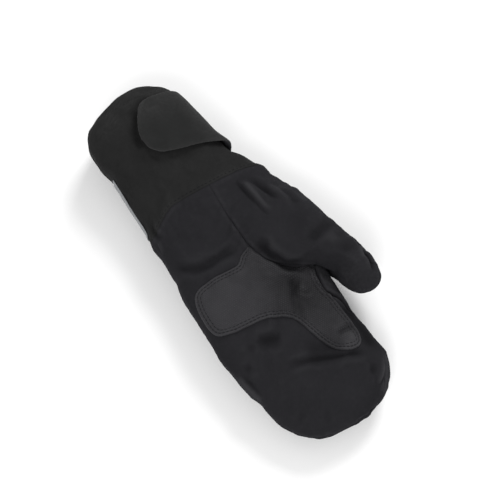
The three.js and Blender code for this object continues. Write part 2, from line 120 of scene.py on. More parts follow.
# ------------------------------------------------------------------ sections
HAND = table("y index little crown side belly", [
    (-58, -48.8, 67.8, 50, 26, 31), (-35, -52.2, 66.3, 49, 25, 30),
    (-10, -47.5, 66.8, 48, 24, 29), (15, -45, 69.5, 47, 23.5, 28),
    (40, -43.5, 69.4, 46, 23, 27.5), (65, -42.8, 70.3, 45, 23, 27),
    (90, -42, 68, 43.5, 22.5, 26.5), (106, -44, 65.2, 42.5, 22, 26),
    (118, -45, 61.4, 42, 21.5, 25.5), (132, -46.8, 61, 41, 21, 25),
    (168, -48, 63.4, 40, 20, 24),
])
CUFF = table("y index little crown side belly floor bow", [
    (-58, -48.8, 67.8, 50, 26, 31, 0, 0), (-64, -43.4, 66.4, 50.2, 26.5, 31.5, 0.5, 0),
    (-72, -40.2, 65.6, 50.5, 27, 32, 1.5, 0), (-85, -31.2, 65.6, 52, 28.5, 33, 3, 0),
    (-100, -28.3, 65.6, 54.5, 30, 33, 3, 0), (-115, -25.9, 66.2, 57, 31, 34, 3, 0),
    (-130, -23.2, 69, 58.5, 32, 34, 3, 0), (-142, -21.2, 69, 58, 32, 34, 3, 0),
    (-154, -18.5, 66, 56, 31.5, 33, 3, 1), (-166, -15.5, 58, 51, 30, 31, 3.5, 4),
    (-174, -12, 46.5, 46, 28, 27, 5, 8),
])
JOIN = table("y palm back", [
    (-58, 4, -12), (-20, 5, -15), (0, 4.5, -18), (10, 2.5, -20), (20, -1, -24),
    (28, -6, -28.5), (33, -11.8, -31.5), (36.5, -17, -34.5), (39, -21.5, -36.5), (41, -26.5, -38.5),
    (42.6, -33, -41), (43.6, -39.5, -43.5), (44.5, -46, -46),
])
EDGE = table("y index", [
    (42.9, 145.2), (45.5, 143.5), (52, 138.5), (58, 137), (66, 137), (76, 147), (83, 157), (95, 167),
    (125, 168), (135, 162), (143, 152), (168, 152),
])
THUMB = table("y rise crownX crownZ outerX outerZ bellyX bellyZ fall innerX innerZ", [
    (-58, 0, 2, 50, -50, 26, -25, -3, 0, -43.4, 23.3),
    (-35, 8, -22, 51, -59, 28, -30, -2.5, 0, -43.4, 23.3),
    (-10, 25, -35, 53, -63, 30, -37, -1.5, 5, -43.4, 23.3),
    (15, 45, -44, 55, -67.3, 32, -44, 2, 15, -43.4, 23.3),
    (30, 57, -49.3, 55.8, -70.7, 33.1, -47.7, 5, 30, -43.4, 23.3),
    (37, 63, -52.4, 56, -72.4, 33.6, -50.3, 6.7, 43, -43.5, 23.3),
    (44.5, 82, -55.9, 56, -74.2, 33.9, -53.9, 8.9, 72, -43.0, 24.3),
    (50, 79, -58.1, 55.7, -75.5, 34.1, -56, 10.2, 73, -46, 27.2),
    (58, 74, -61, 55.2, -77.5, 34.5, -59, 12, 75, -47.8, 31),
    (84, 74, -64, 53.5, -80.8, 35, -64.5, 15, 75, -48.2, 34),
])
THUMB_EDGE = table("y share", [
    (-58, 0.5), (28, 0.5), (44.5, 0.42), (58, 0.34), (66, 0.34), (76, 0.39), (84, 0.42),
])
LEAN = table("y by", [
    (30, 0), (35, 0.5), (37, 0.9), (39, 1.6), (41, 3.0), (43, 5.2), (44.5, 6.4), (46, 5.2), (48, 4.4),
    (50, 3.2), (54, 2.0), (58, 1.4), (64, 1.0), (74, 0.4), (84, 0),
])
STRAP = table("angle near far gap", [
    (79, -112.6, -117, 2.2), (80.5, -108.5, -121, 2.2), (83, -105, -126, 2.2),
    (88, -100.3, -135, 2.2), (92, -98.3, -143.4, 2.2), (96, -97, -147.2, 2.2),
    (101, -96, -149.4, 2.2), (117, -94.2, -150.6, 2.1), (140, -90.5, -151, 1.8),
    (165, -87.2, -150.8, 1.3), (182, -86, -150.4, 1.0), (205, -86.5, -150.2, 0.9),
    (232, -88, -150, 0.75), (264, -90, -148, 0.5),
])
PATCH_OUTLINE = [
    (5.2, 5.5), (14, 9.3), (21.5, 15.4), (32, 14.9), (45, 13.9), (56, 14.6), (62.3, 18.4),
    (65.4, 28), (66.2, 40), (65.4, 51), (61.3, 57.2), (50.7, 61), (38, 62.8), (27.5, 64.6),
    (18, 68.3), (10.5, 73.2), (4.8, 80), (1.6, 91), (-2.4, 102.5), (-8.7, 113.2),
    (-16.5, 120), (-25, 121), (-30.8, 117.6), (-33, 109), (-32.6, 97), (-31.6, 86),
    (-31, 74), (-29.4, 65), (-29, 57), (-30.4, 51), (-31.6, 46.5),
]


def warp(x, y):
    """The wrist seam runs up towards the fingers at the little-finger edge."""
    return 13 * ramp(36, 70, x) * np.exp(-(((y - WRIST) / 30) ** 2))


def oval(S, angle, y, k=1.0):
    half = (S["little"](y) - S["index"](y)) / 2 * k**0.75
    x = (S["little"](y) + S["index"](y)) / 2 + half * power(np.cos(angle), ROUND_X)
    up = np.sin(angle)
    reach = np.where(up >= 0, S["crown"](y) - S["side"](y), -S["belly"](y))
    return x, S["side"](y) + reach * k * np.abs(up) ** ROUND_Z


def angle_at(S, x, y, under=False):
    half = (S["little"](y) - S["index"](y)) / 2
    c = power((x - (S["little"](y) + S["index"](y)) / 2) / half, 1 / ROUND_X)
    a = np.arccos(np.clip(c, -1, 1))
    return 2 * np.pi - a if under else a


def stack(x, y, z):
    return np.stack(np.broadcast_arrays(x, y, z), -1).astype(float)


def hand(angle, y, k=1.0):
    x, z = oval(HAND, angle, y, k)
    return stack(x, y + warp(x, y), lie(z))


def cuff(angle, y):
    x, z = oval(CUFF, angle, y)
    mid = (CUFF["little"](y) + CUFF["index"](y)) / 2
    half = (CUFF["little"](y) - CUFF["index"](y)) / 2
    bow = CUFF["bow"](y) * ((x - mid) / half) ** 2
    return stack(x, y + warp(x, y) + bow, lie(z - CUFF["floor"](y)) + CUFF["floor"](y))


def thumb(share, y, k=1.0):
    """Share 0 at the palm-side seam, 0.25 crown, 0.5 outer edge, 0.75 belly, 1 at the back.
    Where the thumb comes free, its sections pass gradually into each other and lean over the palm."""
    share, y, k = np.broadcast_arrays(
        np.asarray(share, float), np.asarray(y, float), np.asarray(k, float)
    )
    p = thumb_section(share, y, k)
    seam = np.minimum(share, 1 - share)
    w = ramp(31, 40, y) * ramp(67, 56, y) * ramp(0.0, 0.13, seam)
    total, smooth = 0.0, 0.0
    for d in (-10.5, -7, -3.5, 0, 3.5, 7, 10.5):
        g = math.exp(-((d / 6.0) ** 2))
        total += g
        smooth = smooth + g * thumb_section(share, y + d, k)
    smooth /= total
    x, z = mix(p[..., 0], smooth[..., 0], w), mix(p[..., 2], smooth[..., 2], w)
    over = ramp(30, 42, z) * ramp(0.0, 0.035, share) * ramp(0.25, 0.09, share) * k
    return np.stack([x + LEAN["by"](y) * over, p[..., 1], z], -1)


def thumb_section(share, y, k):
    share, y, k = np.broadcast_arrays(
        np.asarray(share, float), np.asarray(y, float), np.asarray(k, float)
    )
    low = np.minimum(y, CROTCH)
    a0 = angle_at(HAND, JOIN["palm"](low), low)
    a1 = angle_at(HAND, JOIN["back"](low), low, True)
    inner = (THUMB["innerX"](y), THUMB["innerZ"](y))
    free = ramp(43.5, 45.1, y)
    start = [mix(a, b, free) for a, b in zip(oval(HAND, a0, low), inner)]
    end = [mix(a, b, free) for a, b in zip(oval(HAND, a1, low), inner)]
    mid_x, mid_z = (THUMB["outerX"](y) + start[0]) / 2, THUMB["outerZ"](y)

    def shrink(p):
        return (
            mid_x + (p[0] - mid_x) * k**0.66,
            mid_z + (p[1] - mid_z) * k**0.9,
        )

    T, B = shrink(start), shrink(end)
    K = shrink((THUMB["crownX"](y), THUMB["crownZ"](y)))
    O = shrink((THUMB["outerX"](y), mid_z))
    L = shrink((THUMB["bellyX"](y), THUMB["bellyZ"](y)))
    loose = ramp(43.5, 45.1, y)
    full = 3.8 * loose * ramp(66, 47, y)
    rise = np.radians(mix(THUMB["rise"](y), 90.0, loose))
    fall = np.radians(mix(THUMB["fall"](y), 90.0, loose))
    f = 0.6
    tug = 0.45 * abs(T[0] - K[0]) * np.cos(rise) + f * abs(K[1] - T[1]) * np.sin(rise)
    pull = 0.45 * abs(B[0] - L[0]) * np.cos(fall) + f * abs(B[1] - L[1]) * np.sin(fall)
    arcs = [
        (T, (T[0] - tug * np.cos(rise) + full, T[1] + tug * np.sin(rise)), (K[0] + 0.5 * abs(T[0] - K[0]) + 0.6 * full, K[1]), K),
        (K, (K[0] - f * (K[0] - O[0]), K[1]), (O[0], O[1] + f * (K[1] - O[1])), O),
        (O, (O[0], O[1] - f * (O[1] - L[1])), (L[0] - f * (L[0] - O[0]), L[1]), L),
        (L, (L[0] + 0.5 * abs(B[0] - L[0]), L[1]), (B[0] - pull * np.cos(fall), B[1] - pull * np.sin(fall)), B),
    ]
    q = np.clip(np.floor(share * 4).astype(int), 0, 3)
    t = share * 4 - q
    m = 1 - t
    w = [m**3, 3 * m * m * t, 3 * m * t * t, t**3]
    both = []
    for c in (0, 1):
        each = [sum(w[i] * np.broadcast_to(arc[i][c], share.shape) for i in range(4)) for arc in arcs]
        both.append(np.choose(q, each))
    angle = np.where(share < 0.5, mix(a0, np.pi, share * 2), mix(np.pi, a1, share * 2 - 1))
    own = oval(HAND, angle, low)
    w = ramp(WRIST, -22, y)
    x = mix(own[0], both[0], w)
    return stack(x, y + warp(x, y), lie(mix(own[1], both[1], w)))


# ------------------------------------------------------------------ lattices
def steps(start, stop, step):
    return np.linspace(start, stop, max(2, int(round(abs(stop - start) / step)) + 1))


def tip_rows(begin, length, half, e, step):
    """Rows of a rounded tip, evenly spaced along its outline: (y, k)."""
    phi = np.linspace(0, math.radians(89.93), 6000)
    x, y = half * np.cos(phi) ** e, begin + length * np.sin(phi)
    arc = np.concatenate([[0], np.cumsum(np.hypot(np.diff(x), np.diff(y)))])
    at = np.interp(steps(0, arc[-1], step)[1:], arc, phi)
    return begin + length * np.sin(at), np.cos(at)


def fractions(length, step, near=(0, 0.4, 0.85, 1.4, 2.05, 2.8, 3.7)):
    near = np.array(near)
    middle = steps(near[-1], length - near[-1], step)[1:-1]
    return np.concatenate([near, middle, length - near[::-1]]) / length


def lattice(point, y, k, share, oversample=420):
    """Points of a surface point(u, y, k), u in 0..1, with columns at these shares of each row's arc."""
    fine_u = np.linspace(0, 1, oversample)
    fine = point(fine_u[None, :], y[:, None], k[:, None])
    arc = np.concatenate(
        [np.zeros((len(y), 1)), np.cumsum(np.linalg.norm(np.diff(fine, axis=1), axis=2), axis=1)], 1
    )
    total = np.maximum(arc[:, -1:], 1e-6)
    u = np.array([np.interp(share, a, fine_u) for a in arc / total])
    return u, point(u, y[:, None], k[:, None]), share[None, :] * total


def quads(rows, columns, ring=False):
    i, j = np.meshgrid(np.arange(rows - 1), np.arange(columns if ring else columns - 1), indexing="ij")
    i, j = i.ravel(), j.ravel()
    n = (j + 1) % columns
    return np.stack([i * columns + j, i * columns + n, (i + 1) * columns + n, (i + 1) * columns + j], 1)


def normals_of(P, faces):
    """Smooth vertex normals of quads or triangles."""
    if faces.shape[1] == 4:
        n = np.cross(P[faces[:, 2]] - P[faces[:, 0]], P[faces[:, 3]] - P[faces[:, 1]])
    else:
        n = np.cross(P[faces[:, 1]] - P[faces[:, 0]], P[faces[:, 2]] - P[faces[:, 0]])
    out = np.zeros_like(P)
    for c in range(faces.shape[1]):
        np.add.at(out, faces[:, c], n)
    return unit(out)


def tree_of(points):
    kd = KDTree(len(points))
    for i, p in enumerate(points):
        kd.insert(p, i)
    kd.balance()
    return kd


def nearest(kd, points):
    found = [kd.find(p) for p in points]
    return np.array([f[2] for f in found]), np.array([f[1] for f in found])


# Value noise with smooth steps, from a hash of the cell: the same on every run.
def noise(P, scale, seed):
    q = P / np.asarray(scale, float) + 1000.0
    cell = np.floor(q).astype(np.int64)
    f = q - cell
    f = f * f * f * (f * (f * 6 - 15) + 10)
    out = np.zeros(len(P))
    for dx in (0, 1):
        for dy in (0, 1):
            for dz in (0, 1):
                h = (
                    (cell[:, 0] + dx) * 73856093
                    ^ (cell[:, 1] + dy) * 19349663
                    ^ (cell[:, 2] + dz) * 83492791
                    ^ seed * 2654435761
                ) & 0xFFFFFFFF
                h = ((h ^ (h >> 16)) * 2246822519) & 0xFFFFFFFF
                h = ((h ^ (h >> 13)) * 3266489917) & 0xFFFFFFFF
                v = ((h ^ (h >> 16)) & 0xFFFF) / 32767.5 - 1
                w = (
                    (f[:, 0] if dx else 1 - f[:, 0])
                    * (f[:, 1] if dy else 1 - f[:, 1])
                    * (f[:, 2] if dz else 1 - f[:, 2])
                )
                out += v * w
    return out


# ------------------------------------------------------------------ panel lattices
ALONG = np.concatenate([
    [-58, -57.6, -57.1, -56.4, -55.5, -54.4], steps(-53.2, 41.6, 1.22),
    [42.3, 42.9, 43.3, 43.75, 44.2, 44.8, 45.6], steps(46.8, 116.8, 1.22), [118.0],
])
TIP_Y, TIP_K = tip_rows(118, 49.5, 56, 0.75, 1.3)
HAND_Y = np.concatenate([ALONG, TIP_Y])
HAND_K = np.concatenate([np.ones(len(ALONG)), TIP_K])
THUMB_RUN = np.concatenate([ALONG[ALONG < 56.2], [57.0]])
THUMB_TIP_Y, THUMB_TIP_K = tip_rows(57, 27, 18, 0.66, 1.2)
THUMB_Y = np.concatenate([THUMB_RUN, THUMB_TIP_Y])
THUMB_K = np.concatenate([np.ones(len(THUMB_RUN)), THUMB_TIP_K])


def index_edge(y):
    """Angle of the palm's edge: the thumb's seam, then the index side's."""
    a = angle_at(HAND, JOIN["palm"](np.minimum(y, 44.1)), np.minimum(y, 44.1))
    return mix(a, np.radians(EDGE["index"](y)), ramp(42.3, 43.1, y))


def back_edge(y):
    low = np.minimum(y, CROTCH)
    return angle_at(HAND, JOIN["back"](low), low, True)


def palm_point(u, y, k):
    return hand(mix(index_edge(y), LITTLE_EDGE, u), y, k)


def back_point(u, y, k):
    return hand(mix(back_edge(y), 2 * np.pi + LITTLE_EDGE, u), y, k)


FORK_Y = np.linspace(42.9, 44.2, 80)
FORK_ANGLE = np.maximum.accumulate(angle_at(HAND, JOIN["palm"](FORK_Y), FORK_Y))


def strip_point(u, y, k):
    """The back panel's strip on the index side. Row y < 43.6 is the seam to the thumb."""
    angle = mix(np.radians(EDGE["index"](np.maximum(y, 42.9))), np.pi, u)
    y = np.where(y < 43.6, np.interp(angle, FORK_ANGLE, FORK_Y), y)
    return hand(angle, y, k)


def front_point(u, y, k):
    return thumb(u * THUMB_EDGE["share"](y), y, k)


def rear_point(u, y, k):
    return thumb(mix(THUMB_EDGE["share"](y), 1.0, u), y, k)


def lay_out(name, parts):
    """One panel from its lattices, welded where they meet, its faces turned outwards."""
    P, F, C, edges, at = [], [], [], [], 0
    for point, y, k, share, used in parts:
        _, p, arc = lattice(point, y, k, share)
        rows, columns = p.shape[:2]
        v = np.broadcast_to(y[:, None], p.shape[:2]) + 12 * (1 - k[:, None])
        ids = at + np.arange(rows * columns).reshape(rows, columns)
        P.append(p.reshape(-1, 3))
        C.append(np.stack([(arc - arc[:, -1:] / 2).ravel(), v.ravel()], 1))
        F.append(at + quads(rows, columns))
        lines = {"start": ids[0], "end": ids[-1], "left": ids[:, 0], "right": ids[:, -1]}
        edges += [lines[w] for w in used]
        at += rows * columns
    P, F, C = np.concatenate(P), np.concatenate(F), np.concatenate(C)
    # weld: the back panel's strip shares a column with its main lattice
    key = np.round(P, 3)
    _, first, back = np.unique(key, axis=0, return_index=True, return_inverse=True)
    back = back.ravel()
    if len(parts) > 1:
        P, C, F = P[first], C[first], back[F]
        edges = [back[e] for e in edges]
    N = normals_of(P, F)
    inside = np.array([np.average(P[:, 0]), 0, 24.0])
    out = P - inside
    out[:, 1] = 0
    if (N * out).sum() < 0:
        F, N = F[:, ::-1], -N
    return {"name": name, "P": P, "F": F, "N": N, "cloth": C, "edges": edges}


def thin_out(y, k, apart):
    """Rows at least this far apart along the outline, the first and last kept."""
    run = np.concatenate([[0], np.cumsum(np.hypot(np.diff(y), 50 * np.diff(k)))])
    keep = [0]
    for i in range(1, len(y) - 1):
        if run[i] - run[keep[-1]] >= apart and run[-1] - run[i] >= 0.6 * apart:
            keep.append(i)
    keep.append(len(y) - 1)
    return y[keep], k[keep]


def build_panels(coarse=0.0):
    """The four hand panels, fine, or with this many mm between rows and columns."""
    hand_y, hand_k, thumb_y, thumb_k = HAND_Y, HAND_K, THUMB_Y, THUMB_K
    if coarse:
        hand_y, hand_k = thin_out(hand_y, hand_k, coarse)
        thumb_y, thumb_k = thin_out(thumb_y, thumb_k, coarse)

    def shares(length, step, *near):
        return fractions(length, coarse, (0, 0.5 * coarse)) if coarse else fractions(length, step, *near)

    strip_y = np.concatenate([[42.7], hand_y[hand_y > 44.7]])
    strip_k = np.concatenate([[1.0], hand_k[hand_y > 44.7]])
    # past the tip's start y only grows, so the test above keeps every tip row
    panels = [
        lay_out("palm_panel", [(palm_point, hand_y, hand_k, shares(118, 1.25), ["start", "left", "right"])]),
        lay_out("back_panel", [
            (back_point, hand_y, hand_k, shares(132, 1.35), ["start", "left", "right"]),
            (strip_point, strip_y, strip_k, shares(17, 1.1, (0, 0.4, 0.9, 1.5, 2.3)), ["start", "left"]),
        ]),
        lay_out("thumb_front_panel", [(front_point, thumb_y, thumb_k, shares(62, 1.2), ["start", "left", "right"])]),
        lay_out("thumb_back_panel", [(rear_point, thumb_y, thumb_k, shares(62, 1.2), ["start", "left", "right"])]),
    ]
    # the strip's lower edge lies on the thumb's seam in the fork
    line = panels[2]["P"][panels[2]["edges"][1]]
    line = line[(line[:, 1] > 41) & (line[:, 1] < 47)]
    edge = panels[1]["edges"][3]
    a, d = line[:-1], np.diff(line, axis=0)
    for i in edge:
        q = panels[1]["P"][i]
        t = np.clip(((q - a) * d).sum(1) / (d * d).sum(1), 0, 1)
        on = a + t[:, None] * d
        panels[1]["P"][i] = on[np.linalg.norm(on - q, axis=1).argmin()]
    # the thumb's cloth runs smoothly past the fork; its seams stay where they are
    for p in panels[2:]:
        border, _ = nearest(tree_of(p["P"][np.unique(np.concatenate(p["edges"]))]), p["P"])
        y = p["P"][:, 1]
        near = (ramp(34, 41, y) * ramp(60, 49, y) * ramp(0.6, 5.0, border))[:, None]
        p["P"] = mix(p["P"], spread(p["P"], p["F"], len(p["P"]), 3 if coarse else 14), near)
        p["N"] = normals_of(p["P"], p["F"])
    return {p["name"]: p for p in panels}


CUFF_Y = np.concatenate([
    [-58, -58.4, -58.9, -59.6, -60.4, -61.4], steps(-62.6, -170.2, 1.22), [-171.2, -172.0, -172.6],
])
CUFF_COLUMNS = 236


def build_cuff(coarse=0.0):
    rows, columns = CUFF_Y, CUFF_COLUMNS
    if coarse:
        rows, _ = thin_out(rows, np.zeros(len(rows)), coarse)
        columns = int(CUFF_COLUMNS * 1.22 / coarse)
    turn = np.linspace(0, 1, columns + 1)

    def point(u, y, k):
        return cuff(math.radians(270) + u * 2 * np.pi, y)

    u, p, arc = lattice(point, rows, np.ones(len(rows)), turn, 900)
    p, arc = p[:, :-1], arc[:, :-1]
    ids = np.arange(p.shape[0] * columns).reshape(-1, columns)
    P = p.reshape(-1, 3)
    F = quads(len(rows), columns, True)
    N = normals_of(P, F)
    out = P - np.array([20, 0, 28.0])
    out[:, 1] = 0
    if (N * out).sum() < 0:
        F, N = F[:, ::-1], -N
    cloth = np.stack([arc.ravel(), np.repeat(rows, columns)], 1)
    return {
        "name": "cuff", "P": P, "F": F, "N": N, "cloth": cloth,
        "edges": [np.append(ids[0], ids[0, 0])], "ring": arc[0, -1] + 1.2, "ids": ids,
        "angle": (270 + 360 * u[:, :-1].ravel()) % 360, "y": np.repeat(rows, columns),
    }


def held_down(panel):
    """How firmly the strap, its pad and the reflective strip hold the cuff's cloth, 0 to 1."""
    a, y = panel["angle"], panel["y"]
    under = ramp(76, 84, a) * ramp(270, 258, a) * ramp(STRAP["far"](a) - 3, STRAP["far"](a) + 1, y) * ramp(STRAP["near"](a) + 3, STRAP["near"](a) - 1, y)
    side = ramp(12, 7, np.abs(a + 3.5 - 360 * (a > 180))) * ramp(-115, -112, y) * ramp(-61, -64, y)
    return np.maximum(under, side)


# ------------------------------------------------------------------ folds
# Each fold follows a line on the cloth. depth and width are in mm; lip is the share of
# its depth that the cloth beside it stands up.
# name, kind, depth, width, lip, taper, points
FOLDS = [
    ("thumb root", "crease", 3.4, 4.0, 0.30, 0.2, [(-2.6, 4, 49), (-3.4, 13.5, 50), (-5.8, 21, 49.5), (-10.4, 28, 48.5), (-14.4, 34, 47), (-20, 39, 45.5), (-27.5, 42.5, 43)]),
    ("index side, fork", "crease", 1.9, 1.7, 0.45, 0.15, "index seam"),
    ("index side, margin", "crease", 2.9, 6.2, 0.0, 0.25, [(-34, 78, 33), (-37.5, 96, 33), (-38.5, 110, 32), (-37, 124, 33), (-32, 131, 33)]),
    ("across the fingers", "crease", 1.9, 2.9, 0.45, 0.16, [(33, 106, 42), (20.8, 109.4, 43.5), (9.3, 113, 42.4), (-1.8, 117.5, 41.6), (-13.2, 121.6, 39.5), (-25, 125, 37.7), (-32, 127.5, 35)]),
    ("across the fingers, crisp", "crease", 1.2, 1.2, 0.3, 0.2, [(27, 107.5, 42), (20.8, 109.4, 43.5), (9.3, 113, 42.4), (-1.8, 117.5, 41.6), (-13.2, 121.6, 39.5), (-25, 125, 37.7), (-33, 128, 35)]),
    ("above it", "crease", 3.4, 9.0, 0.0, 0.3, [(16, 102, 43), (4, 108, 42), (-9, 114, 40), (-16, 120, 39)]),
    ("finger dent", "crease", 3.7, 4.8, 0.3, 0.4, [(44, 80, 38), (36, 79, 41), (30, 81, 43), (21, 83, 46)]),
    ("finger dent, side", "crease", 1.3, 3.0, 0.3, 0.4, [(45, 74, 39), (50, 82, 37.6)]),
    ("finger dent, outer", "crease", 1.8, 3.2, 0.3, 0.45, [(60, 91, 32), (57, 90.5, 34), (52, 90, 36)]),
    ("palm heel", "crease", 2.3, 3.6, 0.25, 0.2, [(62, -18, 36), (56.6, -8.6, 37.3), (50.7, -2.6, 39.7), (43.7, 0, 42.3), (36.4, 0.6, 44.3), (29.6, 0.6, 45.8), (22, 0.8, 46.6), (13, 4, 46.2)]),
    ("thumb base, inner line", "crease", 2.4, 1.5, 0.0, 0.2, [(-16.5, -53, 45), (-18.5, -34.3, 46), (-20.2, -20.7, 48.8), (-24, -6, 49)]),
    ("thumb base, ridge", "ridge", 3.0, 3.0, 0.0, 0.2, [(-21, -49, 45), (-23, -33.7, 48.8), (-24.2, -22.9, 49.7), (-26, -11, 49)]),
    ("thumb base, valley", "crease", 2.6, 3.0, 0.2, 0.25, [(-29.5, -50, 43), (-32.5, -35, 44), (-34.5, -27.4, 46), (-37.5, -15, 47.5)]),
    ("thumb base, second ridge", "ridge", 1.1, 3.4, 0.0, 0.3, [(-39, -38, 45), (-42, -26, 47), (-46, -8, 49)]),
    ("thumb base, second valley", "crease", 1.6, 2.8, 0.2, 0.3, [(-46.5, -30, 45), (-48, -13, 48), (-48, -2, 49)]),
    ("thumb, low", "crease", 1.9, 4.4, 0.3, 0.25, [(-36, 30, 54), (-44, 27, 53), (-50, 25, 53), (-58.5, 22.6, 51.6), (-65, 24, 48)]),
    ("thumb, mound", "ridge", 1.3, 5.5, 0.0, 0.4, [(-47.7, 39, 55.7), (-60, 36, 53.5)]),
    ("thumb, high", "crease", 1.4, 4.6, 0.2, 0.5, [(-52, 50, 52), (-57, 50, 54), (-63, 50.5, 55), (-68, 51.5, 52)]),
    ("thumb tip, streak", "ridge", 3.0, 1.7, 0.0, 0.35, [(-70.2, 51, 52.5), (-67.5, 59, 53.5), (-65, 67, 53)]),
    ("thumb tip, facet", "crease", 3.0, 2.1, 0.5, 0.3, [(-70, 57, 52.5), (-72, 65, 51.5), (-71, 73, 49.5), (-68, 78, 47)]),
    ("fingertip, inner streak", "ridge", 3.0, 1.7, 0.0, 0.3, [(-38, 134, 30), (-33.5, 144.6, 29.5), (-22.4, 154, 32)]),
    ("fingertip, between streaks", "crease", 2.3, 1.6, 0.0, 0.3, [(-39.5, 137, 29), (-35.5, 147, 29.5), (-25, 156, 30)]),
    ("fingertip, dent", "crease", 3.2, 2.8, 0.2, 0.45, [(-31, 136, 32), (-27, 141, 33), (-22, 144.5, 34)]),
    ("tip pucker, little", "crease", 0.5, 2.2, 0.3, 0.4, [(36, 143, 36), (41, 145, 34), (46, 149, 30)]),
    ("tip pucker, middle", "crease", 0.4, 2.4, 0.3, 0.4, [(20, 152, 35), (24, 154, 33), (28, 159, 28)]),
    ("little finger, streak", "ridge", 3.2, 1.8, 0.0, 0.35, [(66.6, 91, 28), (64.3, 103, 28.6), (61.6, 117, 28)]),
    ("little finger, beside it", "crease", 2.0, 1.8, 0.0, 0.35, [(63, 91, 31.8), (61, 103, 32.4), (58.2, 116, 31.6)]),
    ("wrist pucker, outer", "crease", 1.5, 2.0, 0.5, 0.35, [(60, -60, 39), (61.5, -50.4, 38), (60.5, -38, 39)]),
    ("wrist pucker, outermost", "ridge", 1.2, 1.6, 0.0, 0.35, [(62.5, -44, 38), (63.6, -36, 37), (65, -28, 35)]),
    ("patch pit", "crease", 3.0, 3.4, 0.2, 0.35, [(-14, 46, 45.7), (-8.7, 55.2, 44), (-2.5, 64, 46)]),
    ("patch pit, ridge", "ridge", 1.4, 2.0, 0.0, 0.4, [(-16, 51, 43), (-13, 57, 44), (-11, 62, 45)]),
    ("patch fold", "crease", 1.7, 1.9, 0.35, 0.4, [(-9, 58, 43.7), (-14.3, 62.8, 44), (-21, 63, 42)]),
    ("patch band", "crease", 3.0, 7.5, 0.0, 0.3, [(-12, 40, 47), (-6.3, 56, 44.4), (-2.9, 67, 46.7), (-3, 80, 46)]),
    ("beside the strap", "crease", 2.6, 4.2, 0.0, 0.2, [(5, -153, 54), (12, -151.5, 55), (21.5, -148, 56), (26.5, -140.5, 56), (31, -132, 56), (33.5, -122, 56), (32.5, -112, 55)]),
    ("below the strap", "crease", 0.9, 5.0, 0.0, 0.3, [(22, -95, 54), (10.2, -91, 54), (-3.3, -90, 52), (-14.8, -87, 48)]),
    ("lobe crease", "crease", 1.9, 2.6, 0.4, 0.35, [(-13, 105, 41), (-24, 103.5, 37), (-34, 104, 34)]),
    ("lobe end", "ridge", 1.5, 3.4, 0.0, 0.45, [(-20, 114, 38), (-25, 112.2, 37), (-29, 110, 36)]),
    ("patch swell", "ridge", 0.9, 9.0, 0.0, 0.4, [(52, 26, 41), (54, 38, 41), (52, 50, 40)]),
]


def near_line(P, line):
    """Distance to the line, share along it, the nearest point, the line's direction there."""
    line = np.array(line, float)
    lengths = np.linalg.norm(np.diff(line, axis=0), axis=1)
    done = np.concatenate([[0], np.cumsum(lengths)])
    best = np.full(len(P), 1e9)
    share, Q, T = np.zeros(len(P)), np.zeros_like(P), np.zeros_like(P)
    for i, long in enumerate(lengths):
        d = line[i + 1] - line[i]
        t = np.clip((P - line[i]) @ d / long**2, 0, 1)
        q = line[i] + t[:, None] * d
        away = np.linalg.norm(P - q, axis=1)
        hit = away < best
        best[hit] = away[hit]
        share[hit] = ((done[i] + t * long) / done[-1])[hit]
        Q[hit] = q[hit]
        T[hit] = d / long
    return best, share, Q, T


def smooth_line(points, n=4):
    """A Catmull-Rom curve through the points."""
    p = np.array(points, float)
    p = np.vstack([2 * p[0] - p[1], p, 2 * p[-1] - p[-2]])
    out = []
    for i in range(1, len(p) - 2):
        for t in np.linspace(0, 1, n, endpoint=False):
            a, b, c, d = p[i - 1 : i + 3]
            out.append(0.5 * (2 * b + (c - a) * t + (2 * a - 5 * b + 4 * c - d) * t * t + (3 * b - a - 3 * c + d) * t**3))
    out.append(p[-2])
    return np.array(out)


def fold_lines(base):
    """The folds' lines as smooth curves that lie on the unfolded cloth."""
    seam = [tuple(hand(np.radians(EDGE["index"](y)), np.array(float(y)))) for y in (45.5, 50, 55, 61, 68, 75, 83, 92)]
    lines = []
    for fold in FOLDS:
        line = smooth_line(seam if fold[6] == "index seam" else fold[6])
        lines.append(np.array([tuple(base.find_nearest(Vector(q))[0]) for q in line]))
    return lines


def relief(P, N, painted_shading=None):
    """Height of the folds and the cloth's slow unevenness at these points, in mm. The third
    argument collects how deep in a crease each point lies, 0 to 1, and goes below 0 on ridges; the materials use it as
    painted shade in creases and a painted highlight on ridges."""
    out = np.zeros(len(P))
    for line, (_, kind, depth, width, lip, taper, _) in zip(LINES, FOLDS):
        lo, hi = line.min(0) - 4 * width, line.max(0) + 4 * width
        hit = np.where(((P > lo) & (P < hi)).all(1))[0]
        if not len(hit):
            continue
        d, share, _, _ = near_line(P[hit], line)
        d = d * (1 + 0.3 * noise(P[hit], (10, 10, 10), 5))
        ends = ramp(0, taper, share) * ramp(0, taper, 1 - share)
        shape = np.exp(-((d / width) ** 2))
        if kind == "crease":
            shape = -shape + lip * np.exp(-(((d - 2.0 * width) / (0.9 * width)) ** 2))
        ends = ends * (0.85 + 0.3 * noise(P[hit], (16, 16, 16), 6))
        out[hit] += depth * ends * shape
        # the crease depth, kept for painted shade in creases and a painted highlight on ridges
        if painted_shading is not None:
            painted_shading[hit] -= np.minimum(depth / 3, 1) * ends * shape
    # slow unevenness, long in the direction of the hand, and a finer crumple
    out += 0.55 * noise(P, (21, 46, 24), 11)
    out += 0.28 * noise(P, (9, 19, 11), 12)
    fine = noise(P, (5.5, 9, 6), 13)
    out += 0.10 * fine
    return out


# ------------------------------------------------------------------ cloth simulation
def triangles(F):
    return np.concatenate([F[:, [0, 1, 2]], F[:, [0, 2, 3]]])


def spread(values, F, count, times):
    """Averages vertex values over the faces around them."""
    for _ in range(times):
        total, n = np.zeros_like(values), np.zeros(count)
        middle = values[F].mean(1)
        for c in range(F.shape[1]):
            np.add.at(total, F[:, c], middle)
            np.add.at(n, F[:, c], 1)
        values = total / np.maximum(n, 1)[:, None]
    return values


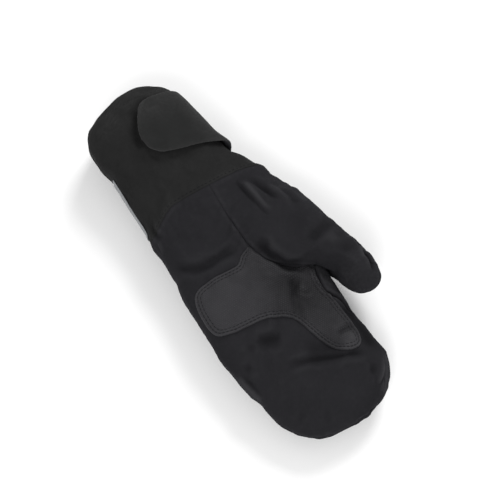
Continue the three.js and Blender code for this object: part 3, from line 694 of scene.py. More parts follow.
GROW = {"palm_panel": 0.030, "back_panel": 0.030, "thumb_front_panel": 0.030, "thumb_back_panel": 0.030, "cuff": 0.020}
CAP = 3.2


def settle(fine, frames=18, coarse=2.5):
    """Slack cloth between sewn edges: each panel is a little larger than its space, held at
    its seams and softly everywhere by the lining, and buckles. Returns how far each fine
    vertex moves."""
    panels = build_panels(coarse)
    panels["cuff"] = build_cuff(coarse)
    objects = {}
    for key, p in panels.items():
        start = p["P"] + p["N"] * relief(p["P"], p["N"])[:, None]
        p["start"] = start
        mesh = bpy.data.meshes.new("slack_" + key)
        mesh.from_pydata((start / 1000).tolist(), [], p["F"].tolist())
        mesh.update()
        ob = bpy.data.objects.new("slack_" + key, mesh)
        bpy.context.scene.collection.objects.link(ob)
        hold = np.full(len(start), 0.02)
        border, _ = outward(p["P"], p["F"], p["N"])
        hold[np.unique(border)] = 1.0
        if key == "cuff":
            hold = np.maximum(hold, (held_down(p) > 0.5).astype(float))
        group = ob.vertex_groups.new(name="hold")
        for level in np.unique(hold):
            group.add(np.where(hold == level)[0].tolist(), float(level), "REPLACE")
        m = ob.modifiers.new("slack", "CLOTH")
        m.settings.quality = 4
        m.settings.mass = 0.12
        m.settings.tension_stiffness = 18
        m.settings.compression_stiffness = 18
        m.settings.shear_stiffness = 8
        m.settings.bending_stiffness = 0.06
        m.settings.tension_damping = m.settings.compression_damping = 6
        m.settings.shear_damping = 6
        m.settings.bending_damping = 0.5
        m.settings.air_damping = 2.0
        m.settings.vertex_group_mass = "hold"
        m.settings.pin_stiffness = 1.0
        m.settings.shrink_min = -GROW[key]
        m.settings.use_pressure = True
        m.settings.uniform_pressure_force = 0.25
        m.settings.effector_weights.gravity = 0
        m.collision_settings.use_collision = False
        m.collision_settings.use_self_collision = False
        m.point_cache.frame_start, m.point_cache.frame_end = 1, frames
        objects[key] = ob
    for frame_number in range(1, frames + 1):
        bpy.context.scene.frame_set(frame_number)
    graph = bpy.context.evaluated_depsgraph_get()
    moved = {}
    for key, ob in objects.items():
        p, f = panels[key], fine[key]
        mesh = ob.evaluated_get(graph).to_mesh()
        now = np.zeros(len(mesh.vertices) * 3)
        mesh.vertices.foreach_get("co", now)
        D = now.reshape(-1, 3) * 1000 - p["start"]
        long = np.linalg.norm(D, axis=1, keepdims=True)
        D = D * np.tanh(long / CAP) * CAP / np.maximum(long, 1e-9)
        T = triangles(p["F"])
        tree = BVHTree.FromPolygons([Vector(v) for v in p["P"]], T.tolist())
        found = [tree.find_nearest(Vector(v)) for v in f["P"]]
        face = T[[r[2] for r in found]]
        q = np.array([tuple(r[0]) for r in found])
        a, b, c_ = (p["P"][face[:, i]] for i in range(3))
        n = np.cross(b - a, c_ - a)
        size = np.maximum((n * n).sum(1), 1e-12)
        wb = (np.cross(q - a, c_ - a) * n).sum(1) / size
        wc = (np.cross(b - a, q - a) * n).sum(1) / size
        w = np.clip(np.stack([1 - wb - wc, wb, wc], 1), 0, 1)
        w /= w.sum(1, keepdims=True)
        D = (D[face] * w[:, :, None]).sum(1)
        border, _ = outward(f["P"], f["F"], f["N"])
        edge = np.unique(border)
        D = spread(D, f["F"], len(D), 2)
        if not key.startswith("thumb"):  # both sides of the hand are drawn tight along their edges
            x, y = f["P"][:, 0], f["P"][:, 1]
            D *= (1 - 0.8 * ramp(-28, -36, x) * ramp(48, 58, y) * ramp(132, 118, y))[:, None]
            D *= (1 - 0.7 * ramp(46, 58, x) * ramp(-52, -40, y) * ramp(142, 128, y))[:, None]
        D[edge] = 0
        moved[key] = D
    for ob in objects.values():
        mesh = ob.data
        bpy.data.objects.remove(ob)
        bpy.data.meshes.remove(mesh)
    bpy.context.scene.frame_set(1)
    return moved


# ------------------------------------------------------------------ sewing
def groove(d):
    """Section across a seam: a valley, and the swell of the allowance beside it."""
    return -0.42 * np.exp(-((d / 0.7) ** 2)) + 0.10 * np.exp(-(((d - 2.2) / 1.2) ** 2))


def sew(panels, slack=None):
    """Gives neighbouring panels one direction at their seams, then sets folds, valleys and puckers."""
    points, normals, owner = [], [], []
    for n, p in enumerate(panels):
        for e in p["edges"]:
            points.append(p["P"][e])
            normals.append(p["N"][e])
            owner.append(np.full(len(e), n))
    points, normals, owner = np.concatenate(points), np.concatenate(normals), np.concatenate(owner)
    trees = {n: (tree_of(points[owner == n]), normals[owner == n]) for n in range(len(panels))}
    shared = np.zeros_like(normals)
    for n, (kd, own) in trees.items():
        for i, q in enumerate(points):
            _, at, away = kd.find(q)
            if away < 1.1:
                shared[i] += own[at] * (1 - 0.5 * away)
    shared = unit(shared)
    kd = tree_of(points)
    for p in panels:
        d, at = nearest(kd, p["P"])
        w = np.exp(-((d / 2.6) ** 2))[:, None]
        N = unit(mix(p["N"], shared[at], w))
        p["d"], p["seam"], p["N0"] = d, points[at], N
        pucker = noise(p["seam"], (5.2, 5.2, 5.2), 21) * 0.36 + noise(p["seam"], (2.6, 2.6, 2.6), 22) * 0.16
        long = 0.45 * noise(p["seam"], (12, 12, 12), 23)
        p["painted_shading"] = np.zeros(len(p["P"]))
        height = (
            relief(p["P"], N, p["painted_shading"])
            + groove(d) * (1 - 0.5 * np.exp(-(((p["seam"][:, 0] - 2) / 10) ** 2)) * ramp(8, -2, p["seam"][:, 1]) * ramp(-62, -56, p["seam"][:, 1]))
            + pucker * np.exp(-(((d - 2.2) / 3.4) ** 2))
            + long * np.exp(-(((d - 5) / 7) ** 2))
        )
        p["P"] = p["P"] + (slack[p["name"]] if slack else 0) + N * height[:, None]
        p["P"][:, 2] = 0.12 + lie(p["P"][:, 2] - 0.12, 0.6)
        p["N"] = normals_of(p["P"], p["F"])
    # the same direction again for the skins' thickness at the seams, near the unfolded one
    for p in panels:
        w = 2.0 * np.exp(-((p["d"] / 3.0) ** 2))[:, None]
        p["N"] = unit(p["N"] + w * p["N0"])
    normals = np.concatenate([p["N"][e] for p in panels for e in p["edges"]])
    points = np.concatenate([p["P"][e] for p in panels for e in p["edges"]])
    kd = tree_of(points)
    shared = np.array([unit(sum(normals[j] for _, j, _ in kd.find_range(q, 1.3))) for q in points])
    for p in panels:
        e = np.concatenate(p["edges"])
        d, at = nearest(kd, p["P"][e])
        p["N"][e] = shared[at]


def outward(P, F, N):
    """Directed edges on the border, and each border vertex's direction away from the cloth."""
    edges = np.concatenate([np.stack([F[:, i], F[:, (i + 1) % F.shape[1]]], 1) for i in range(F.shape[1])])
    big = len(P) + 1
    forward, backward = edges[:, 0] * big + edges[:, 1], edges[:, 1] * big + edges[:, 0]
    border = edges[~np.isin(forward, backward)]
    border = border[border[:, 0] != border[:, 1]]
    away = np.zeros_like(P)
    step = P[border[:, 1]] - P[border[:, 0]]
    for c in (0, 1):
        np.add.at(away, border[:, c], np.cross(step, N[border[:, c]]))
    return border, unit(away)


def closed(P, F, N, depth, cloth, bulge=0.0, pull=0.0, segments=1, lining=1):
    """A closed sheet: outer skin, rim of that many segments, inner skin `depth` deeper."""
    depth = np.broadcast_to(np.asarray(depth, float), (len(P),))
    bulge = np.broadcast_to(np.asarray(bulge, float), (len(P),))
    border, away = outward(P, F, N)
    if pull:
        on = np.unique(border)
        P = P.copy()
        P[on] -= away[on] * pull
    inner = P - N * depth[:, None]
    n = len(P)
    verts, faces, slots = [P, inner], [F.tolist(), (F[:, ::-1] + n).tolist()], [np.zeros(len(F), int), np.full(len(F), lining)]
    rim_vertices = np.unique(border)
    place = {int(v): i for i, v in enumerate(rim_vertices)}
    chain = {int(v): [int(v)] for v in rim_vertices}
    at = 2 * n
    for s in range(1, segments):
        a = math.pi * s / segments
        r = depth[rim_vertices][:, None] / 2
        middle = P[rim_vertices] - N[rim_vertices] * r
        verts.append(
            middle + N[rim_vertices] * r * math.cos(a)
            + away[rim_vertices] * r * math.sin(a) * bulge[rim_vertices][:, None]
        )
        for v, i in place.items():
            chain[v].append(at + i)
        at += len(rim_vertices)
    for v in chain:
        chain[v].append(n + v)
    rim = []
    for a, b in border.tolist():
        ca, cb = chain[a], chain[b]
        rim += [[cb[s], ca[s], ca[s + 1], cb[s + 1]] for s in range(segments)]
    faces.append(rim)
    slots.append(np.zeros(len(rim), int))
    verts = np.concatenate(verts)
    coordinate = np.zeros((len(verts), 2))
    coordinate[:n] = coordinate[n : 2 * n] = cloth
    for v, i in place.items():
        for s in range(1, segments):
            coordinate[chain[v][s]] = cloth[v]
    return verts, faces[0] + faces[1] + faces[2], np.concatenate(slots), coordinate, rim_vertices


def make(name, verts, faces, slots=None, cloth=None, materials=(), ring=None, fields=None):
    """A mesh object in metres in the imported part's frame, with its attributes."""
    mesh = bpy.data.meshes.new(name)
    mesh.from_pydata(((np.asarray(verts) + SHIFT) / 1000).tolist(), [], [list(f) for f in faces])
    mesh.update()
    for m in materials:
        mesh.materials.append(m)
    if slots is not None:
        mesh.polygons.foreach_set("material_index", np.asarray(slots, np.int32))
    mesh.polygons.foreach_set("use_smooth", np.ones(len(mesh.polygons), bool))
    if cloth is not None:
        corner = np.zeros(len(mesh.loops), np.int32)
        mesh.loops.foreach_get("vertex_index", corner)
        values = np.zeros((len(corner), 3), np.float32)
        values[:, :2] = cloth[corner]
        if ring:
            # faces that close the ring run on past its length
            starts = np.zeros(len(mesh.polygons), np.int32)
            totals = np.zeros(len(mesh.polygons), np.int32)
            mesh.polygons.foreach_get("loop_start", starts)
            mesh.polygons.foreach_get("loop_total", totals)
            for s, t in zip(starts.tolist(), totals.tolist()):
                u = values[s : s + t, 0]
                if u.max() - u.min() > ring / 2:
                    values[s : s + t, 0] = np.where(u < ring / 2, u + ring, u)
        a = mesh.attributes.new("cloth", "FLOAT_VECTOR", "CORNER")
        a.data.foreach_set("vector", values.ravel())
    for key, value in (fields or {}).items():
        a = mesh.attributes.new(key, "FLOAT", "POINT")
        a.data.foreach_set("value", np.asarray(value, np.float32))
    ob = bpy.data.objects.new(name, mesh)
    bpy.context.scene.collection.objects.link(ob)
    return ob


def flat_area(P, F):
    if F.shape[1] == 4:
        n = np.cross(P[F[:, 2]] - P[F[:, 0]], P[F[:, 3]] - P[F[:, 1]])
    else:
        n = np.cross(P[F[:, 1]] - P[F[:, 0]], P[F[:, 2]] - P[F[:, 0]])
    return float(np.linalg.norm(n, axis=1).sum() / 2) / 1e6


def threads(name, rows, material, long=2.9, gap=0.8, radius=0.24, lift=0.10, sides=6):
    """Lockstitches along lines on the cloth: rows is [(points, normals, closed)]."""
    verts, faces, at = [], [], 0
    for points, normals, ring in rows:
        points, normals = np.asarray(points, float), np.asarray(normals, float)
        if ring:
            points, normals = np.vstack([points, points[:1]]), np.vstack([normals, normals[:1]])
        arc = np.concatenate([[0], np.cumsum(np.linalg.norm(np.diff(points, axis=0), axis=1))])
        count = max(1, int(arc[-1] / (long + gap)))
        pitch = arc[-1] / count
        length = pitch * long / (long + gap)

        def at_arc(s):
            return (
                np.array([np.interp(s, arc, points[:, c]) for c in range(3)]).T,
                unit(np.array([np.interp(s, arc, normals[:, c]) for c in range(3)]).T),
            )

        for i in range(count):
            s = (i + 0.5) * pitch + np.array([-0.5, -0.42, -0.2, 0.2, 0.42, 0.5]) * length
            c, n = at_arc(np.clip(s, 0, arc[-1]))
            t = unit(np.gradient(c, axis=0))
            b = unit(np.cross(t, n))
            n = np.cross(b, t)
            wobble = 0.05 * math.sin(i * 2.4) * b
            height = np.array([-0.32, -0.02, 1, 1, -0.02, -0.32])[:, None] * lift
            size = np.array([0.35, 0.85, 1.0, 1.0, 0.85, 0.35])[:, None] * radius
            for row in range(6):
                for k in range(sides):
                    a = 2 * math.pi * k / sides
                    verts.append(c[row] + wobble[row] + n[row] * (height[row] + size[row] * math.sin(a)) + b[row] * size[row] * math.cos(a))
            for row in range(5):
                for k in range(sides):
                    m = (k + 1) % sides
                    faces.append([at + row * sides + k, at + row * sides + m, at + (row + 1) * sides + m, at + (row + 1) * sides + k])
            faces.append([at + k for k in range(sides)][::-1])
            faces.append([at + 5 * sides + k for k in range(sides)])
            at += 6 * sides
    verts = np.array(verts)
    cloth = np.stack([verts[:, 0], verts[:, 1]], 1)
    # faces outwards: the first stitch tells
    F = np.array([f for f in faces if len(f) == 4][: 5 * sides])
    c = verts[: 6 * sides].mean(0)
    q = verts[F]
    n = np.cross(q[:, 2] - q[:, 0], q[:, 3] - q[:, 1])
    if ((q.mean(1) - c) * n).sum() < 0:
        faces = [f[::-1] for f in faces]
    return make(name, verts, faces, None, cloth, [material])


# ------------------------------------------------------------------ materials
class Nodes:
    """Short names for the few shader nodes used here."""

    def __init__(self, name):
        self.material = bpy.data.materials.new(name)
        self.material.use_nodes = True
        self.tree = self.material.node_tree
        self.tree.nodes.clear()
        self.out = self.tree.nodes.new("ShaderNodeOutputMaterial")
        self.shader = self.tree.nodes.new("ShaderNodeBsdfPrincipled")
        self.tree.links.new(self.shader.outputs[0], self.out.inputs["Surface"])
        at = self.tree.nodes.new("ShaderNodeAttribute")
        at.attribute_name = "cloth"
        self.cloth = at.outputs["Vector"]
        split = self.tree.nodes.new("ShaderNodeSeparateXYZ")
        self.tree.links.new(self.cloth, split.inputs[0])
        self.u, self.v = split.outputs[0], split.outputs[1]

    def put(self, socket, value):
        if isinstance(value, bpy.types.NodeSocket):
            self.tree.links.new(value, socket)
        else:
            socket.default_value = value

    def math(self, operation, *values, clamp=False):
        n = self.tree.nodes.new("ShaderNodeMath")
        n.operation, n.use_clamp = operation, clamp
        for i, v in enumerate(values):
            self.put(n.inputs[i], v)
        return n.outputs[0]

    def field(self, name):
        n = self.tree.nodes.new("ShaderNodeAttribute")
        n.attribute_name = name
        return n.outputs["Fac"]

    def scaled(self, x, y, z=1.0):
        n = self.tree.nodes.new("ShaderNodeVectorMath")
        n.operation = "MULTIPLY"
        self.tree.links.new(self.cloth, n.inputs[0])
        n.inputs[1].default_value = (x, y, z)
        return n.outputs[0]

    def noise(self, scale, detail=3.0, rough=0.55, vector=None):
        n = self.tree.nodes.new("ShaderNodeTexNoise")
        self.tree.links.new(vector or self.cloth, n.inputs["Vector"])
        n.inputs["Scale"].default_value = scale
        n.inputs["Detail"].default_value = detail
        n.inputs["Roughness"].default_value = rough
        return n.outputs["Fac"]

    def voronoi(self, scale, vector=None, randomness=1.0, feature="F1"):
        n = self.tree.nodes.new("ShaderNodeTexVoronoi")
        n.feature = feature
        self.tree.links.new(vector or self.cloth, n.inputs["Vector"])
        n.inputs["Scale"].default_value = scale
        n.inputs["Randomness"].default_value = randomness
        return n.outputs["Distance"]

    def remap(self, value, a, b, c, d, smooth=False):
        n = self.tree.nodes.new("ShaderNodeMapRange")
        n.interpolation_type = "SMOOTHSTEP" if smooth else "LINEAR"
        self.put(n.inputs["Value"], value)
        for socket, x in zip(("From Min", "From Max", "To Min", "To Max"), (a, b, c, d)):
            n.inputs[socket].default_value = x
        return n.outputs[0]

    def mix(self, share, a, b):
        n = self.tree.nodes.new("ShaderNodeMix")
        n.data_type = "RGBA"
        self.put(n.inputs["Factor"], share)
        self.put(n.inputs[6], a)
        self.put(n.inputs[7], b)
        return n.outputs[2]

    def crease(self, colour, dark, strength=0.66):
        """Painted shade: darker colour in creases; painted highlight: paler colour on ridges, both from the
        crease-depth field.
        """
        h = self.field("painted_shading")
        # painted shade in creases; the next line is the painted highlight on ridges
        deep = self.math("MULTIPLY", h, strength, clamp=True)
        high = self.math("MULTIPLY", h, -0.22, clamp=True)
        colour = self.mix(deep, colour, tuple(0.4 * v for v in dark[:3]) + (1,))
        return self.mix(high, colour, (0.09, 0.09, 0.095, 1))

    def wave(self, value, period, phase=0.0):
        """-1..1 along value, in mm."""
        return self.math("SINE", self.math("MULTIPLY_ADD", value, 2 * math.pi / period, phase))

    def bump(self, *layers):
        """layers are (height, distance in mm, strength), the coarse ones first."""
        normal = None
        for height, distance, strength in layers:
            n = self.tree.nodes.new("ShaderNodeBump")
            n.inputs["Strength"].default_value = strength
            n.inputs["Distance"].default_value = distance / 1000
            self.put(n.inputs["Height"], height)
            if normal:
                self.tree.links.new(normal, n.inputs["Normal"])
            normal = n.outputs[0]
        self.tree.links.new(normal, self.shader.inputs["Normal"])

    def set(self, **values):
        names = {
            "colour": "Base Color", "rough": "Roughness", "specular": "Specular IOR Level",
            "sheen": "Sheen Weight", "sheen_rough": "Sheen Roughness", "sheen_tint": "Sheen Tint",
            "metal": "Metallic", "coat": "Coat Weight", "coat_rough": "Coat Roughness",
        }
        for key, value in values.items():
            self.put(self.shader.inputs[names[key]], value)
        return self.material


def rgb(r, g, b):
    return (r, g, b, 1.0)


def woven(name, dark, light, worn, pitch=0.62, rough=(0.66, 0.8), sheen=0.02, tint=(0.62, 0.66, 0.8), specular=0.012, twill=False, strength=0.5):
    """Face fabric: yarns over and under, slow mottling, lighter and rougher where it rubs and where the worn colour is
    laid on as painted light; painted shade in creases and a painted highlight on ridges.
    """
    n = Nodes(name)
    if twill:
        diagonal = n.math("ADD", n.u, n.v)
        yarn = n.math("MULTIPLY", n.wave(diagonal, pitch * 1.41), 0.5)
        cross = n.math("MULTIPLY", n.wave(n.u, pitch * 0.5), 0.22)
        weave = n.math("ADD", yarn, cross)
    else:
        weave = n.math("MULTIPLY", n.wave(n.u, pitch), n.wave(n.v, pitch))
    slub = n.noise(1.0, 2.0, 0.5, n.scaled(0.18, 1.7))
    slub2 = n.noise(1.0, 2.0, 0.5, n.scaled(1.7, 0.18))
    fibre = n.noise(2.6, 3.0, 0.6)
    cloud = n.noise(0.045, 4.0, 0.55)
    patchy = n.noise(0.32, 3.0, 0.6)
    tone = n.math("ADD", n.remap(cloud, 0.3, 0.7, -0.18, 0.22), n.remap(patchy, 0.3, 0.7, -0.08, 0.10))
    tone = n.math("ADD", tone, n.math("MULTIPLY", n.math("ADD", slub, slub2), 0.22))
    tone = n.math("ADD", tone, n.math("MULTIPLY", weave, 0.10))
    share = n.math("ADD", tone, 0.22, clamp=True)
    cloth = n.mix(share, dark, light)
    # wear beside the seams, and painted light where the field is set for it
    wear_and_painted_light = n.math("MULTIPLY", n.field("wear_and_painted_light"), n.remap(patchy, 0.35, 0.65, 0.35, 1.0), clamp=True)
    colour = n.crease(n.mix(wear_and_painted_light, cloth, worn), dark)
    roughness = n.math("ADD", n.remap(fibre, 0.3, 0.7, rough[0], rough[1]), n.math("MULTIPLY", wear_and_painted_light, 0.06))
    n.bump((n.noise(0.55, 3.0, 0.55), 0.16, 0.55), (weave, 0.07, strength), (fibre, 0.04, 0.5))
    return n.set(colour=colour, rough=roughness, specular=specular, sheen=sheen, sheen_rough=0.42, sheen_tint=rgb(*tint))


def knit(name, dark, light, pitch=1.1):
    """Lining: fine wales of a warp knit with a soft brushed face."""
    n = Nodes(name)
    wale = n.math("ABSOLUTE", n.wave(n.u, pitch * 2))
    loop = n.math("MULTIPLY", n.math("ABSOLUTE", n.wave(n.math("ADD", n.v, n.math("MULTIPLY", wale, 0.35)), pitch * 1.6)), 0.5)
    height = n.math("ADD", wale, loop)
    fuzz = n.noise(3.4, 3.0, 0.6)
    cloud = n.noise(0.06, 3.0, 0.5)
    share = n.math("ADD", n.math("MULTIPLY", height, 0.35), n.remap(cloud, 0.3, 0.7, 0.0, 0.4), clamp=True)
    n.bump((height, 0.16, 0.6), (fuzz, 0.08, 0.6))
    return n.set(colour=n.mix(share, dark, light), rough=n.remap(fuzz, 0.3, 0.7, 0.8, 0.95), specular=0.12, sheen=0.05, sheen_rough=0.5, sheen_tint=rgb(0.7, 0.72, 0.8))


def grip(name):
    """Palm patch: grained synthetic leather with a fine print of raised dots."""
    n = Nodes(name)
    k = 2 * math.pi / 1.55
    def lobe(a):
        x = n.math("MULTIPLY", n.u, k * math.cos(a))
        return n.math("COSINE", n.math("MULTIPLY_ADD", n.v, k * math.sin(a), x))
    three = n.math("ADD", n.math("ADD", lobe(0.5), lobe(0.5 + math.pi / 3)), lobe(0.5 + 2 * math.pi / 3))
    dots = n.remap(three, 0.6, 2.4, 0.0, 1.0, True)
    grain = n.voronoi(1.15, feature="DISTANCE_TO_EDGE")
    grain2 = n.noise(1.7, 4.0, 0.6)
    cloud = n.noise(0.05, 4.0, 0.6)
    tone_and_shade = n.noise(0.17, 4.0, 0.65)
    share = n.math("ADD", n.remap(cloud, 0.32, 0.68, 0.15, 0.7), n.remap(tone_and_shade, 0.35, 0.7, -0.12, 0.22), clamp=True)
    # the print's tone, with the painted shadow of the thumb and a painted highlight at the lobe's end
    tone_with_painted_light = n.math("MULTIPLY_ADD", n.math("SUBTRACT", share, 0.4), 0.35, n.field("tone_and_shade"), clamp=True)
    base = n.mix(tone_with_painted_light, rgb(0.0128, 0.0125, 0.0138), rgb(0.0322, 0.0315, 0.0345))
    base = n.mix(n.math("MULTIPLY", dots, 0.46), base, rgb(0.053, 0.052, 0.056))
    wear_and_painted_light = n.math("MULTIPLY", n.field("wear_and_painted_light"), n.remap(tone_and_shade, 0.3, 0.65, 0.45, 1.0), clamp=True)
    colour = n.crease(n.mix(wear_and_painted_light, base, rgb(0.056, 0.055, 0.059)), rgb(0.0180, 0.0176, 0.0193), 0.5)
    rough = n.math("ADD", n.remap(grain2, 0.3, 0.7, 0.48, 0.62), n.math("MULTIPLY", dots, 0.08))
    n.bump((n.noise(0.5, 3.0, 0.5), 0.25, 0.6), (n.math("MINIMUM", grain, 0.25), 0.5, 0.5), (dots, 0.24, 0.8), (grain2, 0.06, 0.5))
    return n.set(colour=colour, rough=rough, specular=0.08, sheen=0.02, sheen_rough=0.4, sheen_tint=rgb(0.8, 0.82, 0.9))


def coated(name, dark, light, worn, edge):
    """Strap: laminated stretch cloth, fine knit face, its cut edge showing the paler core."""
    n = Nodes(name)
    rib = n.math("MULTIPLY", n.wave(n.u, 0.9), n.wave(n.v, 0.6))
    fibre = n.noise(2.8, 3.0, 0.6)
    cloud = n.noise(0.05, 4.0, 0.55)
    patchy = n.noise(0.35, 3.0, 0.6)
    share = n.math("ADD", n.remap(cloud, 0.3, 0.7, 0.1, 0.75), n.math("ADD", n.math("MULTIPLY", rib, 0.1), n.remap(patchy, 0.3, 0.7, -0.1, 0.12)), clamp=True)
    base = n.mix(share, dark, light)
    # wear along the edges, and painted light on the strap's mouth end and one side
    wear_and_painted_light = n.math("MULTIPLY", n.field("wear_and_painted_light"), n.remap(patchy, 0.35, 0.65, 0.4, 1.0), clamp=True)
    colour = n.mix(n.field("cut"), n.mix(wear_and_painted_light, base, worn), edge)
    n.bump((n.noise(0.5, 3.0, 0.5), 0.15, 0.5), (rib, 0.07, 0.5), (fibre, 0.04, 0.5))
    return n.set(colour=colour, rough=n.remap(fibre, 0.3, 0.7, 0.55, 0.70), specular=0.03, sheen=0.02, sheen_rough=0.4, sheen_tint=rgb(0.8, 0.8, 0.82))


def hooks(name):
    """Hook tape: rows of small stiff hooks on a woven ground."""
    n = Nodes(name)
    tips = n.voronoi(0.9, randomness=0.25)
    hook = n.remap(tips, 0.12, 0.42, 1.0, 0.0, True)
    ground = n.math("MULTIPLY", n.wave(n.u, 0.5), n.wave(n.v, 0.5))
    fuzz = n.noise(2.2, 3.0, 0.6)
    n.bump((hook, 0.5, 0.8), (ground, 0.06, 0.4))
    return n.set(colour=n.mix(hook, rgb(0.008, 0.008, 0.009), rgb(0.026, 0.026, 0.028)), rough=n.remap(fuzz, 0.3, 0.7, 0.42, 0.6), specular=0.35)


def reflective(name):
    """Reflective tape: a pale silver film with a fine honeycomb under it."""
    n = Nodes(name)
    cell = n.voronoi(0.55, randomness=0.05, feature="DISTANCE_TO_EDGE")
    line = n.remap(cell, 0.02, 0.09, 1.0, 0.0, True)
    scuff = n.noise(0.5, 5.0, 0.65)
    base = n.mix(n.remap(scuff, 0.4, 0.75, 0.0, 1.0), rgb(0.30, 0.31, 0.32), rgb(0.22, 0.225, 0.235))
    colour = n.mix(line, base, rgb(0.16, 0.165, 0.175))
    n.bump((line, 0.08, 0.5), (scuff, 0.06, 0.4))
    return n.set(colour=colour, rough=n.remap(scuff, 0.3, 0.7, 0.45, 0.62), specular=0.22, metal=0.1)


def thread(name, dark, light):
    """Twisted sewing thread."""
    n = Nodes(name)
    twist = n.wave(n.math("ADD", n.math("MULTIPLY", n.u, 1.3), n.v), 0.5)
    fuzz = n.noise(2.5, 2.0, 0.5)
    n.bump((twist, 0.06, 0.6))
    return n.set(colour=n.mix(n.remap(twist, -1, 1, 0.1, 0.9), dark, light), rough=n.remap(fuzz, 0.3, 0.7, 0.5, 0.65), specular=0.06, sheen=0.05, sheen_rough=0.4)


def tape(name):
    """Seam tape: a heat-bonded film, slightly wrinkled and a little glossier than the lining."""
    n = Nodes(name)
    ripple = n.noise(0.6, 4.0, 0.55)
    fine = n.noise(2.0, 3.0, 0.5)
    n.bump((ripple, 0.3, 0.6), (fine, 0.05, 0.4))
    return n.set(colour=n.mix(n.remap(ripple, 0.3, 0.7, 0, 1), rgb(0.020, 0.020, 0.022), rgb(0.030, 0.030, 0.033)), rough=n.remap(fine, 0.3, 0.7, 0.35, 0.5), specular=0.35)

SHELL = woven("hand_fabric", rgb(0.0150, 0.0147, 0.0165), rgb(0.0215, 0.0211, 0.0234), rgb(0.0280, 0.0275, 0.0302))
CUFF_CLOTH = woven("cuff_fabric", rgb(0.0146, 0.0146, 0.0146), rgb(0.0209, 0.0209, 0.0209), rgb(0.0275, 0.0275, 0.0275), pitch=0.7, twill=True, tint=(0.75, 0.75, 0.78))
LINING = knit("lining_fabric", rgb(0.020, 0.020, 0.022), rgb(0.040, 0.040, 0.044))
STRAP_CLOTH = coated("strap_fabric", rgb(0.0148, 0.0150, 0.0150), rgb(0.0205, 0.0208, 0.0207), rgb(0.031, 0.031, 0.031), rgb(0.046, 0.046, 0.046))
HOOKS = hooks("hook_tape")
GRIP = grip("palm_grip")
SILVER = reflective("reflective_tape")
THREAD = thread("black_thread", rgb(0.006, 0.006, 0.007), rgb(0.022, 0.022, 0.024))
WRIST_THREAD = thread("wrist_thread", rgb(0.004, 0.004, 0.005), rgb(0.013, 0.013, 0.015))
HEM_THREAD = thread("hem_thread", rgb(0.010, 0.010, 0.010), rgb(0.022, 0.022, 0.022))
TAPE = tape("seam_tape")


def padded(values, count):
    """The outer skin's values, and nothing on the other vertices."""
    out = np.zeros(count)
    out[: len(values)] = np.clip(values, -1, 1)
    return out


def worn(p, reach=1.6, amount=0.8):
    """Wear on the swell beside a seam and a little at random, 0 to 1."""
    d = p["d"]
    w = amount * np.exp(-(((d - 2.4) / reach) ** 2))
    w += 0.25 * np.clip(noise(p["P"], (3.0, 3.0, 3.0), 31), 0, 1)
    return np.clip(w, 0, 1) * np.clip(0.65 + 0.6 * noise(p["P"], (14, 14, 14), 32), 0.1, 1)


# ------------------------------------------------------------------ hand and cuff
panels = build_panels()
panels["cuff"] = build_cuff()
flat = {k: flat_area(p["P"], p["F"]) for k, p in panels.items()}
LINES = fold_lines(BVHTree.FromPolygons(
    [Vector(v) for p in panels.values() for v in p["P"]],
    [[int(i) + n for i in f] for p, n in zip(panels.values(), np.cumsum([0] + [len(p["P"]) for p in panels.values()])) for f in p["F"]],
))
sew(list(panels.values()), settle(panels))


def distance_2d(q, line, ring=True):
    a, b = (line, np.roll(line, -1, 0)) if ring else (line[:-1], line[1:])
    best = np.full(len(q), 1e9)
    for p0, p1 in zip(a, b):
        d = p1 - p0
        t = np.clip(((q - p0) @ d) / max(d @ d, 1e-12), 0, 1)
        best = np.minimum(best, np.linalg.norm(q - p0 - t[:, None] * d, axis=1))
    return best


def spot(P, x, y, wide, tall):
    return np.exp(-(((P[:, 0] - x) / wide) ** 2) - ((P[:, 1] - y) / tall) ** 2) * ramp(8, 14, P[:, 2])


def painted_highlight_spots(P, key):
    """Painted highlight: paler cloth beside the fork, on the thumb's inner face, the fingertip's
    corner and the little finger's ridge."""
    if key.startswith("thumb"):
        return 0.35 * spot(P, -50, 67, 6, 7)
    fork = ramp(40, 45, P[:, 1]) * ramp(74, 62, P[:, 1]) * ramp(-31, -37, P[:, 0]) * ramp(8, 14, P[:, 2])
    corner = np.array([(-43, 136.5), (-38.5, 143), (-33, 150.5), (-27, 158)], float)
    edge = np.array([(66.4, 93), (64.3, 103), (61.8, 115)], float)
    out = 0.9 * fork + np.exp(-((distance_2d(P[:, :2], corner, False) / 1.9) ** 2)) * ramp(14, 19, P[:, 2])
    return out + 0.7 * np.exp(-((distance_2d(P[:, :2], edge, False) / 1.7) ** 2)) * ramp(20, 25, P[:, 2])


def painted_light_spots(P, key):
    """Painted shade on the index side beside the patch and on the thumb's ball, and less of it where the painted
    highlights are.
    """
    if key.startswith("thumb"):
        return 0.22 * spot(P, -42, 18, 13, 14)
    margin = ramp(84, 91, P[:, 1]) * ramp(128, 118, P[:, 1]) * ramp(-30, -36, P[:, 0]) * ramp(12, 18, P[:, 2])
    return 0.36 * margin - 0.6 * painted_highlight_spots(P, key)


made = {}
for key in ("palm_panel", "back_panel", "thumb_front_panel", "thumb_back_panel"):
    p = panels[key]
    verts, faces, slots, cloth, _ = closed(p["P"], p["F"], p["N"], WALL, p["cloth"], pull=0.05)
    wear_and_painted_light = np.zeros(len(verts))
    # painted light: the thumb panels paler towards the thumb's end, and painted highlights at spots, on top of wear
    # beside the seams
    painted_tip_light = 0.45 * ramp(44, 66, p["P"][:, 1]) if key.startswith("thumb") else 0.0
    wear_and_painted_light[: len(p["P"])] = np.clip(worn(p) + painted_tip_light * np.clip(0.8 + 0.5 * noise(p["P"], (8, 8, 8), 34), 0, 1) + painted_highlight_spots(p["P"], key), 0, 1)
    # painted shade in creases and at spots, less of it where painted highlights are
    made[key] = make(key + "_cloth", verts, faces, slots, cloth, [SHELL, LINING], None, {"wear_and_painted_light": wear_and_painted_light, "painted_shading": padded(p["painted_shading"] + painted_light_spots(p["P"], key), len(verts))})

